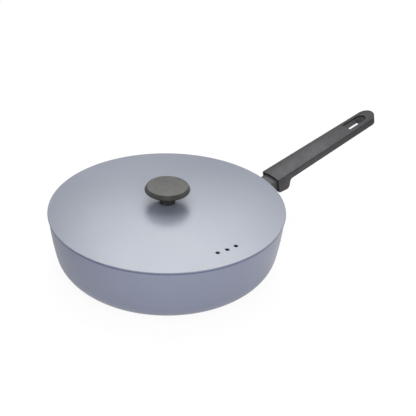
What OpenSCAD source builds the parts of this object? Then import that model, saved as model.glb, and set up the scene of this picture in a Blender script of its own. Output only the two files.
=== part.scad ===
// Saute pan with a lift-off lid.
// A bowed aluminium pan with a round-cornered base, a low domed lid with steam
// holes and a mushroom knob, and a moulded handle on a bracket and flame guard.
// The origin is the centre of the base, +Z is up and the handle points along +X.

/* [Pan body] */
// Outer radius of the pan at its rim
rim_r = 142.6; // [130:0.1:160]
// Height of the rim above the surface that the pan stands on
pan_h = 77; // [70:0.5:90]
// Thickness of the side wall
wall_t = 2.6; // [2:0.1:3.6]
// Thickness of the base
floor_t = 4.2; // [3:0.1:6]
// Radius of the round corner outside, between the base and the wall
corner_r = 34.5; // [31:0.5:40]
// Radius of the round corner inside, between the floor and the wall
floor_corner_r = 31; // [26:0.5:35]
// Radius of the slight outward bow of the wall
bow_r = 380; // [300:5:500]
// Lean of the wall away from upright at the rim, in degrees
rim_lean = 3.75; // [3:0.25:7]
// Bevel on both edges of the rim
rim_bevel = 0.5; // [0.3:0.1:0.8]

/* [Base disc] */
// Width of plain aluminium round the steel disc, out to where the base turns up
disc_margin = 16.3; // [8:0.1:24]
// Thickness of the steel disc
disc_t = 0.8; // [0.5:0.1:1.5]
// Radius of the holes that lock the disc into the aluminium
disc_hole_r = 2.6; // [1.5:0.1:3]
// Distance from the outermost ring of holes to the disc's edge
disc_edge_w = 14; // [8:0.5:20]
// Rings of holes in the disc
disc_rings = 4; // [1:1:4]
// Holes added with each further ring
disc_ring_holes = 8; // [4:1:10]

/* [Lid] */
// Overhang of the lid's edge past the pan's rim
lid_overhang = 1; // [0.4:0.1:2]
// Thickness of the lid's sheet
lid_t = 1.2; // [0.8:0.1:1.6]
// Radius of the rounded hem that rests on the rim
hem_r = 0.9; // [0.8:0.1:1.4]
// Rise of the dome from its edge to its middle
lid_rise = 6.5; // [4:0.5:12]
// Radius of the flat seat pressed into the middle, under the knob
seat_r = 10.5; // [10:0.1:14]
// Radius of each steam hole
vent_r = 2.6; // [1.5:0.05:3]
// Distance of the steam holes in from the lid's edge
vent_inset = 24.2; // [20:0.1:40]
// Distance between the centres of two steam holes
vent_pitch = 12.9; // [9:0.1:18]
// Number of steam holes
vent_count = 3; // [1:1:5]
// Direction of the middle steam hole from the handle, in degrees
vent_turn = -92.8; // [-180:0.1:180]

/* [Lid ring] */
// Play between the ring's skirt and the pan wall beside its lower edge
ring_play = 1.2; // [0.6:0.1:2]
// Depth of the skirt below the rim
ring_depth = 7; // [4:0.5:10]
// Thickness of the ring's sheet
ring_t = 1; // [0.8:0.1:1.4]
// Width of the flange that is fixed under the lid
ring_flange_w = 8; // [5:0.5:12]
// Gap of the weld seam between the flange and the lid
ring_seam = 0.05; // [0.02:0.01:0.2]

/* [Knob] */
// Radius of the knob's stem
stem_r = 9.7; // [9:0.1:10]
// Height of the knob above the lid's middle
knob_h = 23.3; // [18:0.1:30]
// Radius of the grip disc at its widest
knob_r = 27.5; // [22:0.1:30]
// Radius of the grip disc's top face
knob_top_r = 25.5; // [20:0.1:28]
// Height of the grip disc at its edge
knob_edge_h = 6.3; // [5.5:0.1:7.5]
// Rise of the knob's top from its edge to its middle
knob_crown = 0.8; // [0.4:0.1:2]
// Radius of the disc's lower edge
knob_low_edge_r = 1.8; // [1:0.1:2.2]
// Radius of the disc's upper edge
knob_top_edge_r = 0.9; // [0.5:0.1:1.2]
// Radius of the hollow between the stem and the disc
knob_fillet_r = 4; // [2:0.1:6]

/* [Handle grip] */
// Distance from the pan's rim to the front of the grip
neck_l = 27.1; // [25:0.1:42]
// Height of the grip's long top edges at its front
grip_z = 67; // [60:0.5:72]
// Rise of the handle above level, in degrees
grip_rise = 12.5; // [6:0.1:18]
// Length of the grip
grip_l = 192.5; // [150:0.1:220]
// Width of the grip at its front
grip_w = 31; // [28:0.1:34]
// Radius of the round end of the grip
tip_r = 12.7; // [10.5:0.1:13.4]
// Rise of the arched top above its long edges at the front
crown_h = 2.1; // [1:0.1:2.5]
// Depth of the bar below the long top edges
bar_h = 10; // [9.6:0.1:14]
// Depth of the finger guard's front below the long top edges
guard_h = 20.1; // [18:0.1:24]
// Lie of the guard's underside, dropping outwards, in degrees
guard_drop = 9; // [0:0.5:15]
// Lean of the guard's rear face, in degrees
guard_lean = 17; // [5:0.5:30]
// Distance from the front of the grip to the centre of the guard's round heel
guard_heel_x = 11.3; // [10:0.1:14]
// Radius of the guard's round heel
guard_heel_r = 6; // [4:0.1:6.5]
// Radius of the hollow between the guard and the bar
guard_fillet_r = 5; // [3:0.1:7]
// Wall of the grip round its open front
grip_wall = 1.7; // [1.2:0.1:2.2]
// Depth of the open front of the grip
front_depth = 7.5; // [5:0.1:9]

/* [Hanging slot] */
// Length of solid grip past the round end of the slot
slot_end_w = 14.7; // [10:0.1:20]
// Length of the slot
slot_l = 35.8; // [28:0.1:38]
// Width of the slot
slot_w = 15.3; // [12:0.1:16.5]

/* [Flame guard] */
// Width of the flame guard where it enters the grip
sleeve_w = 24.6; // [22:0.1:26]
// Taper of each side of the flame guard towards the pan, in degrees
sleeve_taper = 5; // [0:0.5:6]
// Drop of the flame guard's arched top below the grip's top
sleeve_drop = 3.5; // [2.9:0.1:4.5]
// Depth of the flame guard below its arched top
sleeve_h = 15.6; // [14.5:0.1:16.4]
// Wall of the flame guard
sleeve_t = 1.4; // [1:0.1:1.8]

/* [Bracket] */
// Width of the bracket
tongue_w = 13; // [10:0.1:13.5]
// Thickness of the bracket's tongue
tongue_t = 4.4; // [3.5:0.1:4.6]
// Distance from the long top edges down to the tongue
tongue_drop = 3.7; // [3.5:0.1:4.2]
// Reach of the tongue into the grip
tongue_reach = 34; // [26:0.5:50]
// Clearance round the tongue in its socket
tongue_clear = 0.1; // [0.05:0.05:0.3]
// Height of the bracket's foot at the pan wall
foot_h = 11; // [8:0.1:11.5]
// Length of the foot at its full height, beside the rim
foot_l = 6; // [3:0.1:12]

/* [Handle screw] */
// Distance from the front of the grip to the screw's axis
screw_x = 12.3; // [11.5:0.1:14]
// Radius of the screw's thread
screw_r = 2.5; // [1.5:0.1:2.8]
// Length of the screw below its head
screw_l = 9.8; // [8:0.1:9.9]
// Radius of the screw's head
screw_head_r = 4.4; // [3.5:0.1:4.6]
// Height of the screw's head
screw_head_h = 2.8; // [2.4:0.1:3.2]
// Thickness of the grip between the tongue's socket and the counterbore
screw_wall = 4.6; // [4:0.1:5.5]
// Play round the screw in the grip's bore
screw_play = 0.3; // [0.2:0.05:0.5]
// Play round the head and its washer in the counterbore
head_play = 0.4; // [0.3:0.05:0.8]
// Thickness of the lock washer
washer_t = 1.1; // [0.8:0.1:1.3]
// Width of the split in the lock washer
washer_split = 0.8; // [0.5:0.1:1.2]
// Width of each arm of the cross recess in both screws
cross_w = 0.9; // [0.6:0.1:1.2]
// Depth of the cross recess in both screws
cross_depth = 1.5; // [1:0.1:1.7]

/* [Knob screw] */
// Radius of the knob screw's thread
knob_screw_r = 2; // [1.5:0.1:2.4]
// Reach of the knob screw into the knob
knob_screw_reach = 8; // [6:0.1:9]
// Radius of the knob screw's head
knob_head_r = 3.9; // [3.4:0.1:4.5]
// Height of the knob screw's head
knob_head_h = 2.4; // [2:0.1:3]
// Outer radius of the washer under the lid
knob_washer_r = 6; // [5:0.1:8]
// Thickness of the washer under the lid
knob_washer_t = 1; // [0.8:0.1:1.6]
// Play round the knob screw in the lid
knob_screw_play = 0.35; // [0.2:0.05:0.5]
// Outer radius of the brass insert moulded into the stem
insert_r = 4; // [3.5:0.1:5]
// Length of the brass insert
insert_l = 10; // [9:0.1:12]

/* [Hidden] */
$fn = 180;

// Overrun of every cut past the face that it leaves
cut = 1;

// Centre of the circle that the bowed wall follows, in the section plane
bow_x = rim_r - bow_r * cos(rim_lean);
bow_z = pan_h + bow_r * sin(rim_lean);
// Radius of the inner wall at a height
function inner_wall_r(z) = bow_x + sqrt(pow(bow_r - wall_t, 2) - pow(bow_z - z, 2));
// Radius at which a flat floor at a height turns up into the round corner
function flat_r(z, round_r, wall_r) =
    bow_x + sqrt(pow(wall_r - round_r, 2) - pow(z + round_r - bow_z, 2));

// Radius of the steel disc, and the distance between two rings of its holes
disc_r = flat_r(0, corner_r, bow_r) - disc_margin;
disc_ring_step = (disc_r - disc_edge_w) / disc_rings;

// Radius of the lid, and of the circle that its steam holes lie on
lid_r = rim_r + lid_overhang;
vent_ring_r = lid_r - vent_inset;
// Top of the hem, centre height and radius of the dome's sphere
hem_top_z = pan_h + 2 * hem_r;
dome_edge_r = lid_r - hem_r;
dome_r = (pow(dome_edge_r, 2) + pow(lid_rise, 2)) / (2 * lid_rise);
dome_z = hem_top_z + lid_rise - dome_r;
// Height of the flat seat in the lid's middle, where the knob stands
seat_z = dome_z + sqrt(pow(dome_r, 2) - pow(seat_r, 2));
// Outer radius of the ring's skirt
skirt_r = inner_wall_r(pan_h - ring_depth) - ring_play;
// Gap between the skirt and the inside of the lid's hem
hem_gap = 0.2;
// Angle between two steam holes
vent_step = 2 * asin(vent_pitch / 2 / vent_ring_r);

// Distance from the pan's axis to the front of the grip
grip_start = rim_r + neck_l;
// Centre of the grip's round end
tip_x = grip_l - tip_r;
// Distance from the front of the grip to the square end of the slot
slot_start = grip_l - slot_end_w - slot_l;
// Radius of the arched top
crown_r = (pow(grip_w / 2, 2) + pow(crown_h, 2)) / (2 * crown_h);
crown_z = crown_h - crown_r;
// Centre of the guard's heel, and where its rear face and hollow begin
heel_tan_x = guard_heel_x - guard_heel_r * sin(guard_drop);
heel_tan_z = -guard_h - heel_tan_x * tan(guard_drop);
heel_z = heel_tan_z + guard_heel_r * cos(guard_drop);
rear_x = guard_heel_x + guard_heel_r * cos(guard_lean);
rear_z = heel_z - guard_heel_r * sin(guard_lean);
hollow_z = -bar_h - guard_fillet_r;
rear_top_z = hollow_z + guard_fillet_r * sin(guard_lean);
rear_top_x = rear_x + (rear_top_z - rear_z) * tan(guard_lean);
hollow_x = rear_top_x + guard_fillet_r * cos(guard_lean);
// Levels of the tongue
tongue_top = -tongue_drop;
tongue_low = tongue_top - tongue_t;
// Ceiling of the screw's counterbore, where the lock washer presses
bore_seat_z = tongue_low - tongue_clear - screw_wall;
// Start of the flame guard and bracket inside the pan's outside, which cuts them
root_overlap = 16;
root_x = -neck_l - root_overlap;

// One solid outline of revolution for the pan, outside or inside.
// Its parts meet tangentially: floor, round corner and bowed wall.
module bowl_outline(low, round_r, wall_r, top) {
    round_z = low + round_r;
    round_x = flat_r(low, round_r, wall_r);
    join_z = round_z + round_r * (round_z - bow_z) / (wall_r - round_r);
    intersection() {
        union() {
            translate([0, low]) square([round_x, top - low]);
            translate([round_x, round_z]) circle(round_r);
            intersection() {
                translate([bow_x, bow_z]) circle(wall_r, $fn = 4 * $fn);
                translate([0, join_z]) square([rim_r + cut, top - join_z]);
            }
        }
        translate([0, low]) square([rim_r + cut, top - low]);
    }
}

// The pan's outside as a solid, which pieces on its wall are fitted to
module pan_outside() {
    rotate_extrude() bowl_outline(0, corner_r, bow_r, pan_h);
}

// A bevel for the rim's edge, in the section plane
module rim_bevel_cut(r, side) {
    polygon([[r + side * cut, pan_h - rim_bevel - cut],
             [r + side * cut, pan_h + cut],
             [r - side * (rim_bevel + cut), pan_h + cut]]);
}

module pan_body() {
    color("#9a9ca6") difference() {
        rotate_extrude() difference() {
            bowl_outline(0, corner_r, bow_r, pan_h);
            bowl_outline(floor_t, floor_corner_r, bow_r - wall_t, pan_h + cut);
            rim_bevel_cut(rim_r, 1);
            rim_bevel_cut(inner_wall_r(pan_h), -1);
        }
        translate([0, 0, -cut]) cylinder(r = disc_r, h = disc_t + cut);
    }
}

// Steel disc that lets the pan work on an induction hob
module base_disc() {
    color("#b9bbbf") difference() {
        cylinder(r = disc_r, h = disc_t);
        for (ring = [1 : disc_rings])
            for (hole = [1 : ring * disc_ring_holes])
                rotate(hole * 360 / (ring * disc_ring_holes))
                    translate([ring * disc_ring_step, 0, -cut])
                        cylinder(r = disc_hole_r, h = disc_t + 2 * cut, $fn = 32);
    }
}

// Section of the dome at a depth below its top face, out to a radius
module dome_section(depth, out_r, low) {
    intersection() {
        translate([0, dome_z]) circle(dome_r - depth, $fn = 8 * $fn);
        translate([0, low]) square([out_r, seat_z - depth - low]);
    }
}

module lid_panel() {
    color("#a9adb8") difference() {
        rotate_extrude() difference() {
            union() {
                dome_section(0, dome_edge_r, pan_h);
                translate([dome_edge_r, pan_h + hem_r]) circle(hem_r, $fn = 48);
            }
            dome_section(lid_t, skirt_r + hem_gap, pan_h - cut);
        }
        translate([0, 0, pan_h]) cylinder(r = knob_screw_r + knob_screw_play, h = seat_z);
        for (hole = [0 : vent_count - 1])
            rotate(vent_turn + (hole - (vent_count - 1) / 2) * vent_step)
                translate([vent_ring_r, 0, pan_h])
                    cylinder(r = vent_r, h = lid_rise + 2 * hem_r + cut, $fn = 48);
    }
}

// Pressed ring under the lid, which keeps it centred in the pan
module lid_ring() {
    color("#a9adb8") rotate_extrude() difference() {
        dome_section(lid_t + ring_seam, skirt_r, pan_h - ring_depth);
        dome_section(lid_t + ring_seam + ring_t, skirt_r - ring_t, pan_h - ring_depth - cut);
        translate([0, pan_h - ring_depth - cut])
            square([skirt_r - ring_flange_w, ring_depth + lid_rise + 2 * hem_r + cut]);
    }
}

// Section of the knob: stem, hollow, rounded lower edge, sloping side and crowned top
module knob_section() {
    face_z = seat_z + knob_h - knob_crown;
    under_z = face_z - knob_edge_h;
    crown_sphere_r = (pow(knob_top_r, 2) + pow(knob_crown, 2)) / (2 * knob_crown);
    low_x = knob_r - knob_low_edge_r;
    low_z = under_z + knob_low_edge_r;
    top_x = knob_top_r - knob_top_edge_r;
    top_z = face_z - knob_top_edge_r;
    // The sloping side is tangent to both edge rounds
    side = atan2(low_x - top_x, top_z - low_z)
         + asin((knob_low_edge_r - knob_top_edge_r) / norm([low_x - top_x, top_z - low_z]));
    difference() {
        union() {
            translate([0, seat_z]) square([stem_r, low_z - seat_z]);
            translate([0, under_z - knob_fillet_r])
                square([stem_r + knob_fillet_r, knob_fillet_r + knob_low_edge_r]);
            polygon([[0, under_z], [low_x, under_z], [low_x, low_z],
                     [low_x + knob_low_edge_r * cos(side), low_z + knob_low_edge_r * sin(side)],
                     [top_x + knob_top_edge_r * cos(side), top_z + knob_top_edge_r * sin(side)],
                     [top_x, top_z], [top_x, face_z], [0, face_z]]);
            translate([low_x, low_z]) circle(knob_low_edge_r, $fn = 64);
            translate([top_x, top_z]) circle(knob_top_edge_r, $fn = 64);
            intersection() {
                translate([0, seat_z + knob_h - crown_sphere_r])
                    circle(crown_sphere_r, $fn = 4 * $fn);
                translate([0, top_z]) square([top_x, knob_crown + knob_top_edge_r + cut]);
            }
        }
        translate([stem_r + knob_fillet_r, under_z - knob_fillet_r])
            circle(knob_fillet_r, $fn = 64);
    }
}

module knob() {
    color("#3c3c3b") difference() {
        rotate_extrude() knob_section();
        translate([0, 0, seat_z - cut]) cylinder(r = insert_r, h = insert_l + cut);
    }
}

// Threaded brass bush that the knob is moulded round
module knob_insert() {
    color("#b5a264") translate([0, 0, seat_z]) difference() {
        cylinder(r = insert_r, h = insert_l);
        translate([0, 0, -cut]) cylinder(r = knob_screw_r, h = insert_l + 2 * cut);
    }
}

module knob_washer() {
    color("#c4c6c9") translate([0, 0, seat_z - lid_t - knob_washer_t]) difference() {
        cylinder(r = knob_washer_r, h = knob_washer_t);
        translate([0, 0, -cut])
            cylinder(r = knob_screw_r + knob_screw_play, h = knob_washer_t + 2 * cut);
    }
}

// Pan head screw along +Z with its head below the origin and a cross recess
module cross_screw(thread_r, thread_l, head_r, head_h) {
    difference() {
        union() {
            cylinder(r = thread_r, h = thread_l);
            intersection() {
                translate([0, 0, -head_h]) cylinder(r = head_r, h = head_h);
                translate([0, 0, 2 * head_r - head_h]) sphere(r = 2 * head_r);
            }
        }
        for (turn = [0, 90])
            rotate(turn)
                translate([-head_r / 2, -cross_w / 2, -head_h - cut])
                    cube([head_r, cross_w, cross_depth + cut]);
    }
}

module knob_screw() {
    color("#c4c6c9") translate([0, 0, seat_z - lid_t - knob_washer_t])
        cross_screw(knob_screw_r, lid_t + knob_washer_t + knob_screw_reach,
                    knob_head_r, knob_head_h);
}

// Places its children in the handle's own frame: x runs out along the grip from
// its front, and z is square to it, from the level of the long top edges there
module on_handle() {
    translate([grip_start, 0, grip_z]) rotate([0, -grip_rise, 0]) children();
}

// Extrudes a side view, drawn in x and z, to a width that is centred on y
module side_view(width) {
    translate([0, width / 2, 0]) rotate([90, 0, 0]) linear_extrude(width) children();
}

// Outline of the grip from above: tapered sides that run into the round end
module grip_plan() {
    polygon([[0, -grip_w / 2], [tip_x, -tip_r], [tip_x, tip_r], [0, grip_w / 2]]);
    translate([tip_x, 0]) circle(tip_r);
}

// Outline of the grip from the side: a straight bar with the finger guard
module grip_side() {
    difference() {
        union() {
            translate([0, -bar_h]) square([grip_l, bar_h + crown_h]);
            polygon([[0, 0], [0, -guard_h], [heel_tan_x, heel_tan_z],
                     [guard_heel_x, heel_z], [rear_x, rear_z],
                     [rear_top_x, rear_top_z], [hollow_x, -bar_h], [hollow_x, 0]]);
            translate([guard_heel_x, heel_z]) circle(guard_heel_r, $fn = 96);
        }
        translate([hollow_x, hollow_z]) circle(guard_fillet_r, $fn = 96);
    }
}

// Round stock along the handle whose top is the arched top, lowered by a depth
module crown_stock(depth, from, to) {
    translate([from, 0, crown_z])
        rotate([0, 90, 0]) cylinder(r = crown_r - depth, h = to - from, $fn = 4 * $fn);
}

// The hanging slot from above: square towards the pan and round at the end
module slot_plan() {
    round_x = slot_start + slot_l - slot_w / 2;
    translate([slot_start, -slot_w / 2]) square([round_x - slot_start, slot_w]);
    translate([round_x, 0]) circle(slot_w / 2);
}

module handle_grip() {
    color("#4c4c4d") on_handle() difference() {
        intersection() {
            translate([0, 0, -2 * guard_h]) linear_extrude(3 * guard_h) grip_plan();
            side_view(2 * grip_w) grip_side();
            crown_stock(0, 0, grip_l);
        }
        // Open front round the flame guard
        intersection() {
            side_view(grip_w - 2 * grip_wall)
                translate([-cut, -guard_h + grip_wall])
                    square([front_depth + cut, guard_h + crown_h]);
            crown_stock(grip_wall, -cut, front_depth);
        }
        // Socket for the bracket's tongue
        translate([0, -tongue_w / 2 - tongue_clear, tongue_low - tongue_clear])
            cube([tongue_reach + tongue_clear, tongue_w + 2 * tongue_clear,
                  tongue_t + 2 * tongue_clear]);
        // Bore and counterbore of the screw
        translate([screw_x, 0, bore_seat_z - cut])
            cylinder(r = screw_r + screw_play, h = tongue_low - bore_seat_z + cut);
        translate([screw_x, 0, -2 * guard_h])
            cylinder(r = screw_head_r + head_play, h = bore_seat_z + 2 * guard_h);
        // Hanging slot
        translate([0, 0, -bar_h - cut]) linear_extrude(bar_h + crown_h + 2 * cut) slot_plan();
    }
}

// Tapered, arched block along the handle, which the flame guard is made from
module sleeve_block(inset, overrun) {
    half_w = sleeve_w / 2 - inset;
    root_w = half_w - (front_depth - root_x) * tan(sleeve_taper);
    top = crown_h - sleeve_drop - inset;
    low = crown_h - sleeve_drop - sleeve_h + inset;
    end_x = front_depth + overrun;
    intersection() {
        translate([0, 0, low]) linear_extrude(top - low)
            polygon([[root_x, -root_w], [front_depth, -half_w], [end_x, -half_w],
                     [end_x, half_w], [front_depth, half_w], [root_x, root_w]]);
        crown_stock(crown_h - top, root_x, end_x);
    }
}

// Hollow sleeve between the pan wall and the grip, fitted to the wall
module flame_guard() {
    color("#454547") difference() {
        on_handle() difference() {
            sleeve_block(0, 0);
            sleeve_block(sleeve_t, cut);
        }
        pan_outside();
    }
}

// Aluminium bracket welded to the wall: a foot inside the flame guard, and a
// tongue that the grip slides on, with the screw's threaded hole
module handle_bracket() {
    foot_x = foot_l - neck_l;
    foot_low = tongue_top - foot_h;
    color("#a8aab0") difference() {
        on_handle() difference() {
            side_view(tongue_w)
                polygon([[root_x, tongue_top], [tongue_reach, tongue_top],
                         [tongue_reach, tongue_low], [0, tongue_low],
                         [foot_x, foot_low], [root_x, foot_low]]);
            translate([screw_x, 0, tongue_low - cut])
                cylinder(r = screw_r, h = tongue_t + 2 * cut);
        }
        pan_outside();
    }
}

module handle_screw() {
    color("#c4c6c9") on_handle()
        translate([screw_x, 0, bore_seat_z - washer_t])
            cross_screw(screw_r, screw_l, screw_head_r, screw_head_h);
}

// Split lock washer above the screw's head
module lock_washer() {
    color("#c4c6c9") on_handle()
        translate([screw_x, 0, bore_seat_z - washer_t]) difference() {
            cylinder(r = screw_head_r, h = washer_t);
            translate([0, 0, -cut])
                cylinder(r = screw_r + screw_play, h = washer_t + 2 * cut);
            translate([0, -washer_split / 2, -cut])
                cube([screw_head_r + cut, washer_split, washer_t + 2 * cut]);
        }
}

pan_body();
base_disc();
handle_bracket();
flame_guard();
handle_grip();
handle_screw();
lock_washer();
lid_panel();
lid_ring();
knob();
knob_insert();
knob_washer();
knob_screw();
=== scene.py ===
"""Looks of a saute pan with a lift-off lid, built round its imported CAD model.

The pan, the lid, the knob, the grip and the flame guard are made again with
rounded edges, turned from their sections or carved like the real moulding.
The other pieces keep their CAD shape and get their finish here.
"""
import contextlib
import math

import bmesh
import bpy
from mathutils import Matrix, Vector


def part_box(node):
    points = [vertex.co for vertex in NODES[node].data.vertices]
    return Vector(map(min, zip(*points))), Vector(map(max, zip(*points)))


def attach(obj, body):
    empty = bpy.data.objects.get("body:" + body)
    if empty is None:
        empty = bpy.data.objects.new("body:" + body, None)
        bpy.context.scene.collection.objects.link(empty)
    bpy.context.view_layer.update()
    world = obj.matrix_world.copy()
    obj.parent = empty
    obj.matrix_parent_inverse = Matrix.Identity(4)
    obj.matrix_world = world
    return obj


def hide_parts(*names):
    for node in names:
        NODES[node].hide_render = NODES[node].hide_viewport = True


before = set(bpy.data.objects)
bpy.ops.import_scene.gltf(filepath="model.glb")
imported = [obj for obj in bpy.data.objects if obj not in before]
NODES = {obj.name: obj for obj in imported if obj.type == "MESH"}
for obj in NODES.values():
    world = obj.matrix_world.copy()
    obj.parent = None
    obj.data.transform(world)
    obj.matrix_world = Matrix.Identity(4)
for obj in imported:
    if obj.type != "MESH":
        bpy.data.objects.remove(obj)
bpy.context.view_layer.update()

bl_info = {
    "name": "Saute Pan with Lid",
    "version": (1, 0, 0),
    "blender": (4, 5, 0),
    "location": "3D View > Sidebar > Saute Pan",
    "description": "Builds the looks of a saute pan and its lid round a CAD frame",
    "category": "Object",
}

MM = 0.001
WELD = 1e-6  # Points that lie closer than this are one
NEAR = 0.1 * MM  # Slack in telling where an edge or a face lies


def length(label, about, default):
    """A size of the object, in metres."""
    return bpy.props.FloatProperty(
        name=label, description=about, default=default, min=0.0,
        subtype="DISTANCE", unit="LENGTH", precision=5)


def angle(label, about, degrees):
    """An angle, stored in radians."""
    return bpy.props.FloatProperty(
        name=label, description=about, default=math.radians(degrees),
        subtype="ANGLE", unit="ROTATION")


def paint(label, about, default):
    """A colour of a finish."""
    return bpy.props.FloatVectorProperty(
        name=label, description=about, default=default, size=3,
        min=0.0, max=1.0, subtype="COLOR")


def amount(label, about, default):
    """A plain number of a finish or of the stage."""
    return bpy.props.FloatProperty(name=label, description=about, default=default)


def count(label, about, default):
    """A whole number."""
    return bpy.props.IntProperty(name=label, description=about, default=default, min=1)


class PanSizes(bpy.types.PropertyGroup):
    """Sizes of the pan's body and base."""
    rim_r: length("Rim radius", "Outer radius at the rim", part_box("pan_body")[1].x)
    height: length("Height", "Height of the rim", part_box("pan_body")[1].z)
    wall: length("Wall", "Thickness of the side wall", 2.6 * MM)
    floor: length("Base", "Thickness of the base", 4.2 * MM)
    corner_r: length("Corner", "Round corner outside, under the wall", 34.5 * MM)
    floor_corner_r: length("Floor corner", "Round corner inside", 31 * MM)
    bow_r: length("Bow", "Radius of the wall's slight outward bow", 380 * MM)
    rim_lean: angle("Lean", "Lean of the wall at the rim", 3.75)
    rim_round: length("Rim edge", "Radius of the rim's two edges", 0.6 * MM)
    # The darker band at the top of the wall is painted shade under the lid's hem
    shade_band_w: length("Band width", "Rim to the inside of its darker band", 3 * MM)
    shade_band_h: length("Band height", "Rim down to the start of its darker band", 2 * MM)
    shade_band_fade: length("Band fade", "Height over which the band starts", 0.6 * MM)
    disc_r: length("Disc radius", "Radius of the steel disc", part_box("base_disc")[1].x)
    disc_t: length("Disc thickness", "Thickness of the disc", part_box("base_disc")[1].z)
    plug_r: length("Plug radius", "Radius of the base's plugs in the disc", 2.58 * MM)
    plug_low: length("Plug recess", "Depth of a plug below the disc", 0.08 * MM)
    disc_edge_w: length("Disc edge", "Outermost holes to the disc's edge", 14 * MM)
    disc_rings: count("Rings", "Rings of holes in the disc", 4)
    ring_holes: count("Holes", "Holes added with each further ring", 8)
    segments: count("Segments", "Steps round the pan", 288)


class LidSizes(bpy.types.PropertyGroup):
    """Sizes of the lid."""
    radius: length("Radius", "Outer radius of the lid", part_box("lid_panel")[1].x)
    seat_z: length("Seat height", "Height of the knob's seat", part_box("knob")[0].z)
    sheet: length("Sheet", "Thickness of the lid's sheet", 1.2 * MM)
    hem_r: length("Hem", "Radius of the rounded hem", 0.9 * MM)
    rise: length("Rise", "Rise of the dome", 6.5 * MM)
    seat_r: length("Seat radius", "Radius of the flat seat", 10.5 * MM)
    # The darker band low on the hem is painted shade where the hem hangs over the pan's
    # rim
    shade_band_w: length("Band width", "Edge to the inside of its darker band", 1.5 * MM)
    shade_band_h: length("Band height", "Pan's rim up to the darker band's start", 1.4 * MM)
    shade_band_fade: length("Band fade", "Height over which the band starts", 0.5 * MM)
    rest_r: length("Rest", "Inner radius of the hem's rest on the rim", 138.4 * MM)
    bore_r: length("Bore", "Radius of the hole for the knob's screw", 2.35 * MM)
    vent_r: length("Steam hole", "Radius of a steam hole", 2.6 * MM)
    vent_soft: length("Steam hole edge", "Bevel towards the knob", 0.3 * MM)
    vent_inset: length("Steam hole inset", "Distance in from the edge", 24.2 * MM)
    vent_pitch: length("Steam hole pitch", "Distance between two holes", 12.9 * MM)
    vent_count: count("Steam holes", "Number of steam holes", 3)
    vent_turn: angle("Steam hole turn", "Direction of the middle hole", -92.8)
    segments: count("Segments", "Steps round the lid", 288)


class KnobSizes(bpy.types.PropertyGroup):
    """Sizes of the knob."""
    stem_r: length("Stem", "Radius of the stem", 9.7 * MM)
    height: length("Height", "Height above the lid", 23.3 * MM)
    radius: length("Radius", "Widest radius of the disc", 27.5 * MM)
    top_r: length("Top radius", "Radius of the top face", 25.5 * MM)
    edge_h: length("Edge height", "Height of the disc's edge", 6.3 * MM)
    crown: length("Crown", "Rise of the top face", 0.8 * MM)
    low_r: length("Lower edge", "Radius of the lower edge", 1.8 * MM)
    top_edge_r: length("Upper edge", "Radius of the upper edge", 0.9 * MM)
    fillet: length("Hollow", "Radius between stem and disc", 4 * MM)
    bush_r: length("Bush radius", "Radius of the brass bush", 4 * MM)
    bush_l: length("Bush length", "Length of the brass bush", 10 * MM)
    foot_soft: length("Foot edge", "Bevel at the foot of the stem", 0.35 * MM)
    segments: count("Segments", "Steps round the knob", 144)


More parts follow.
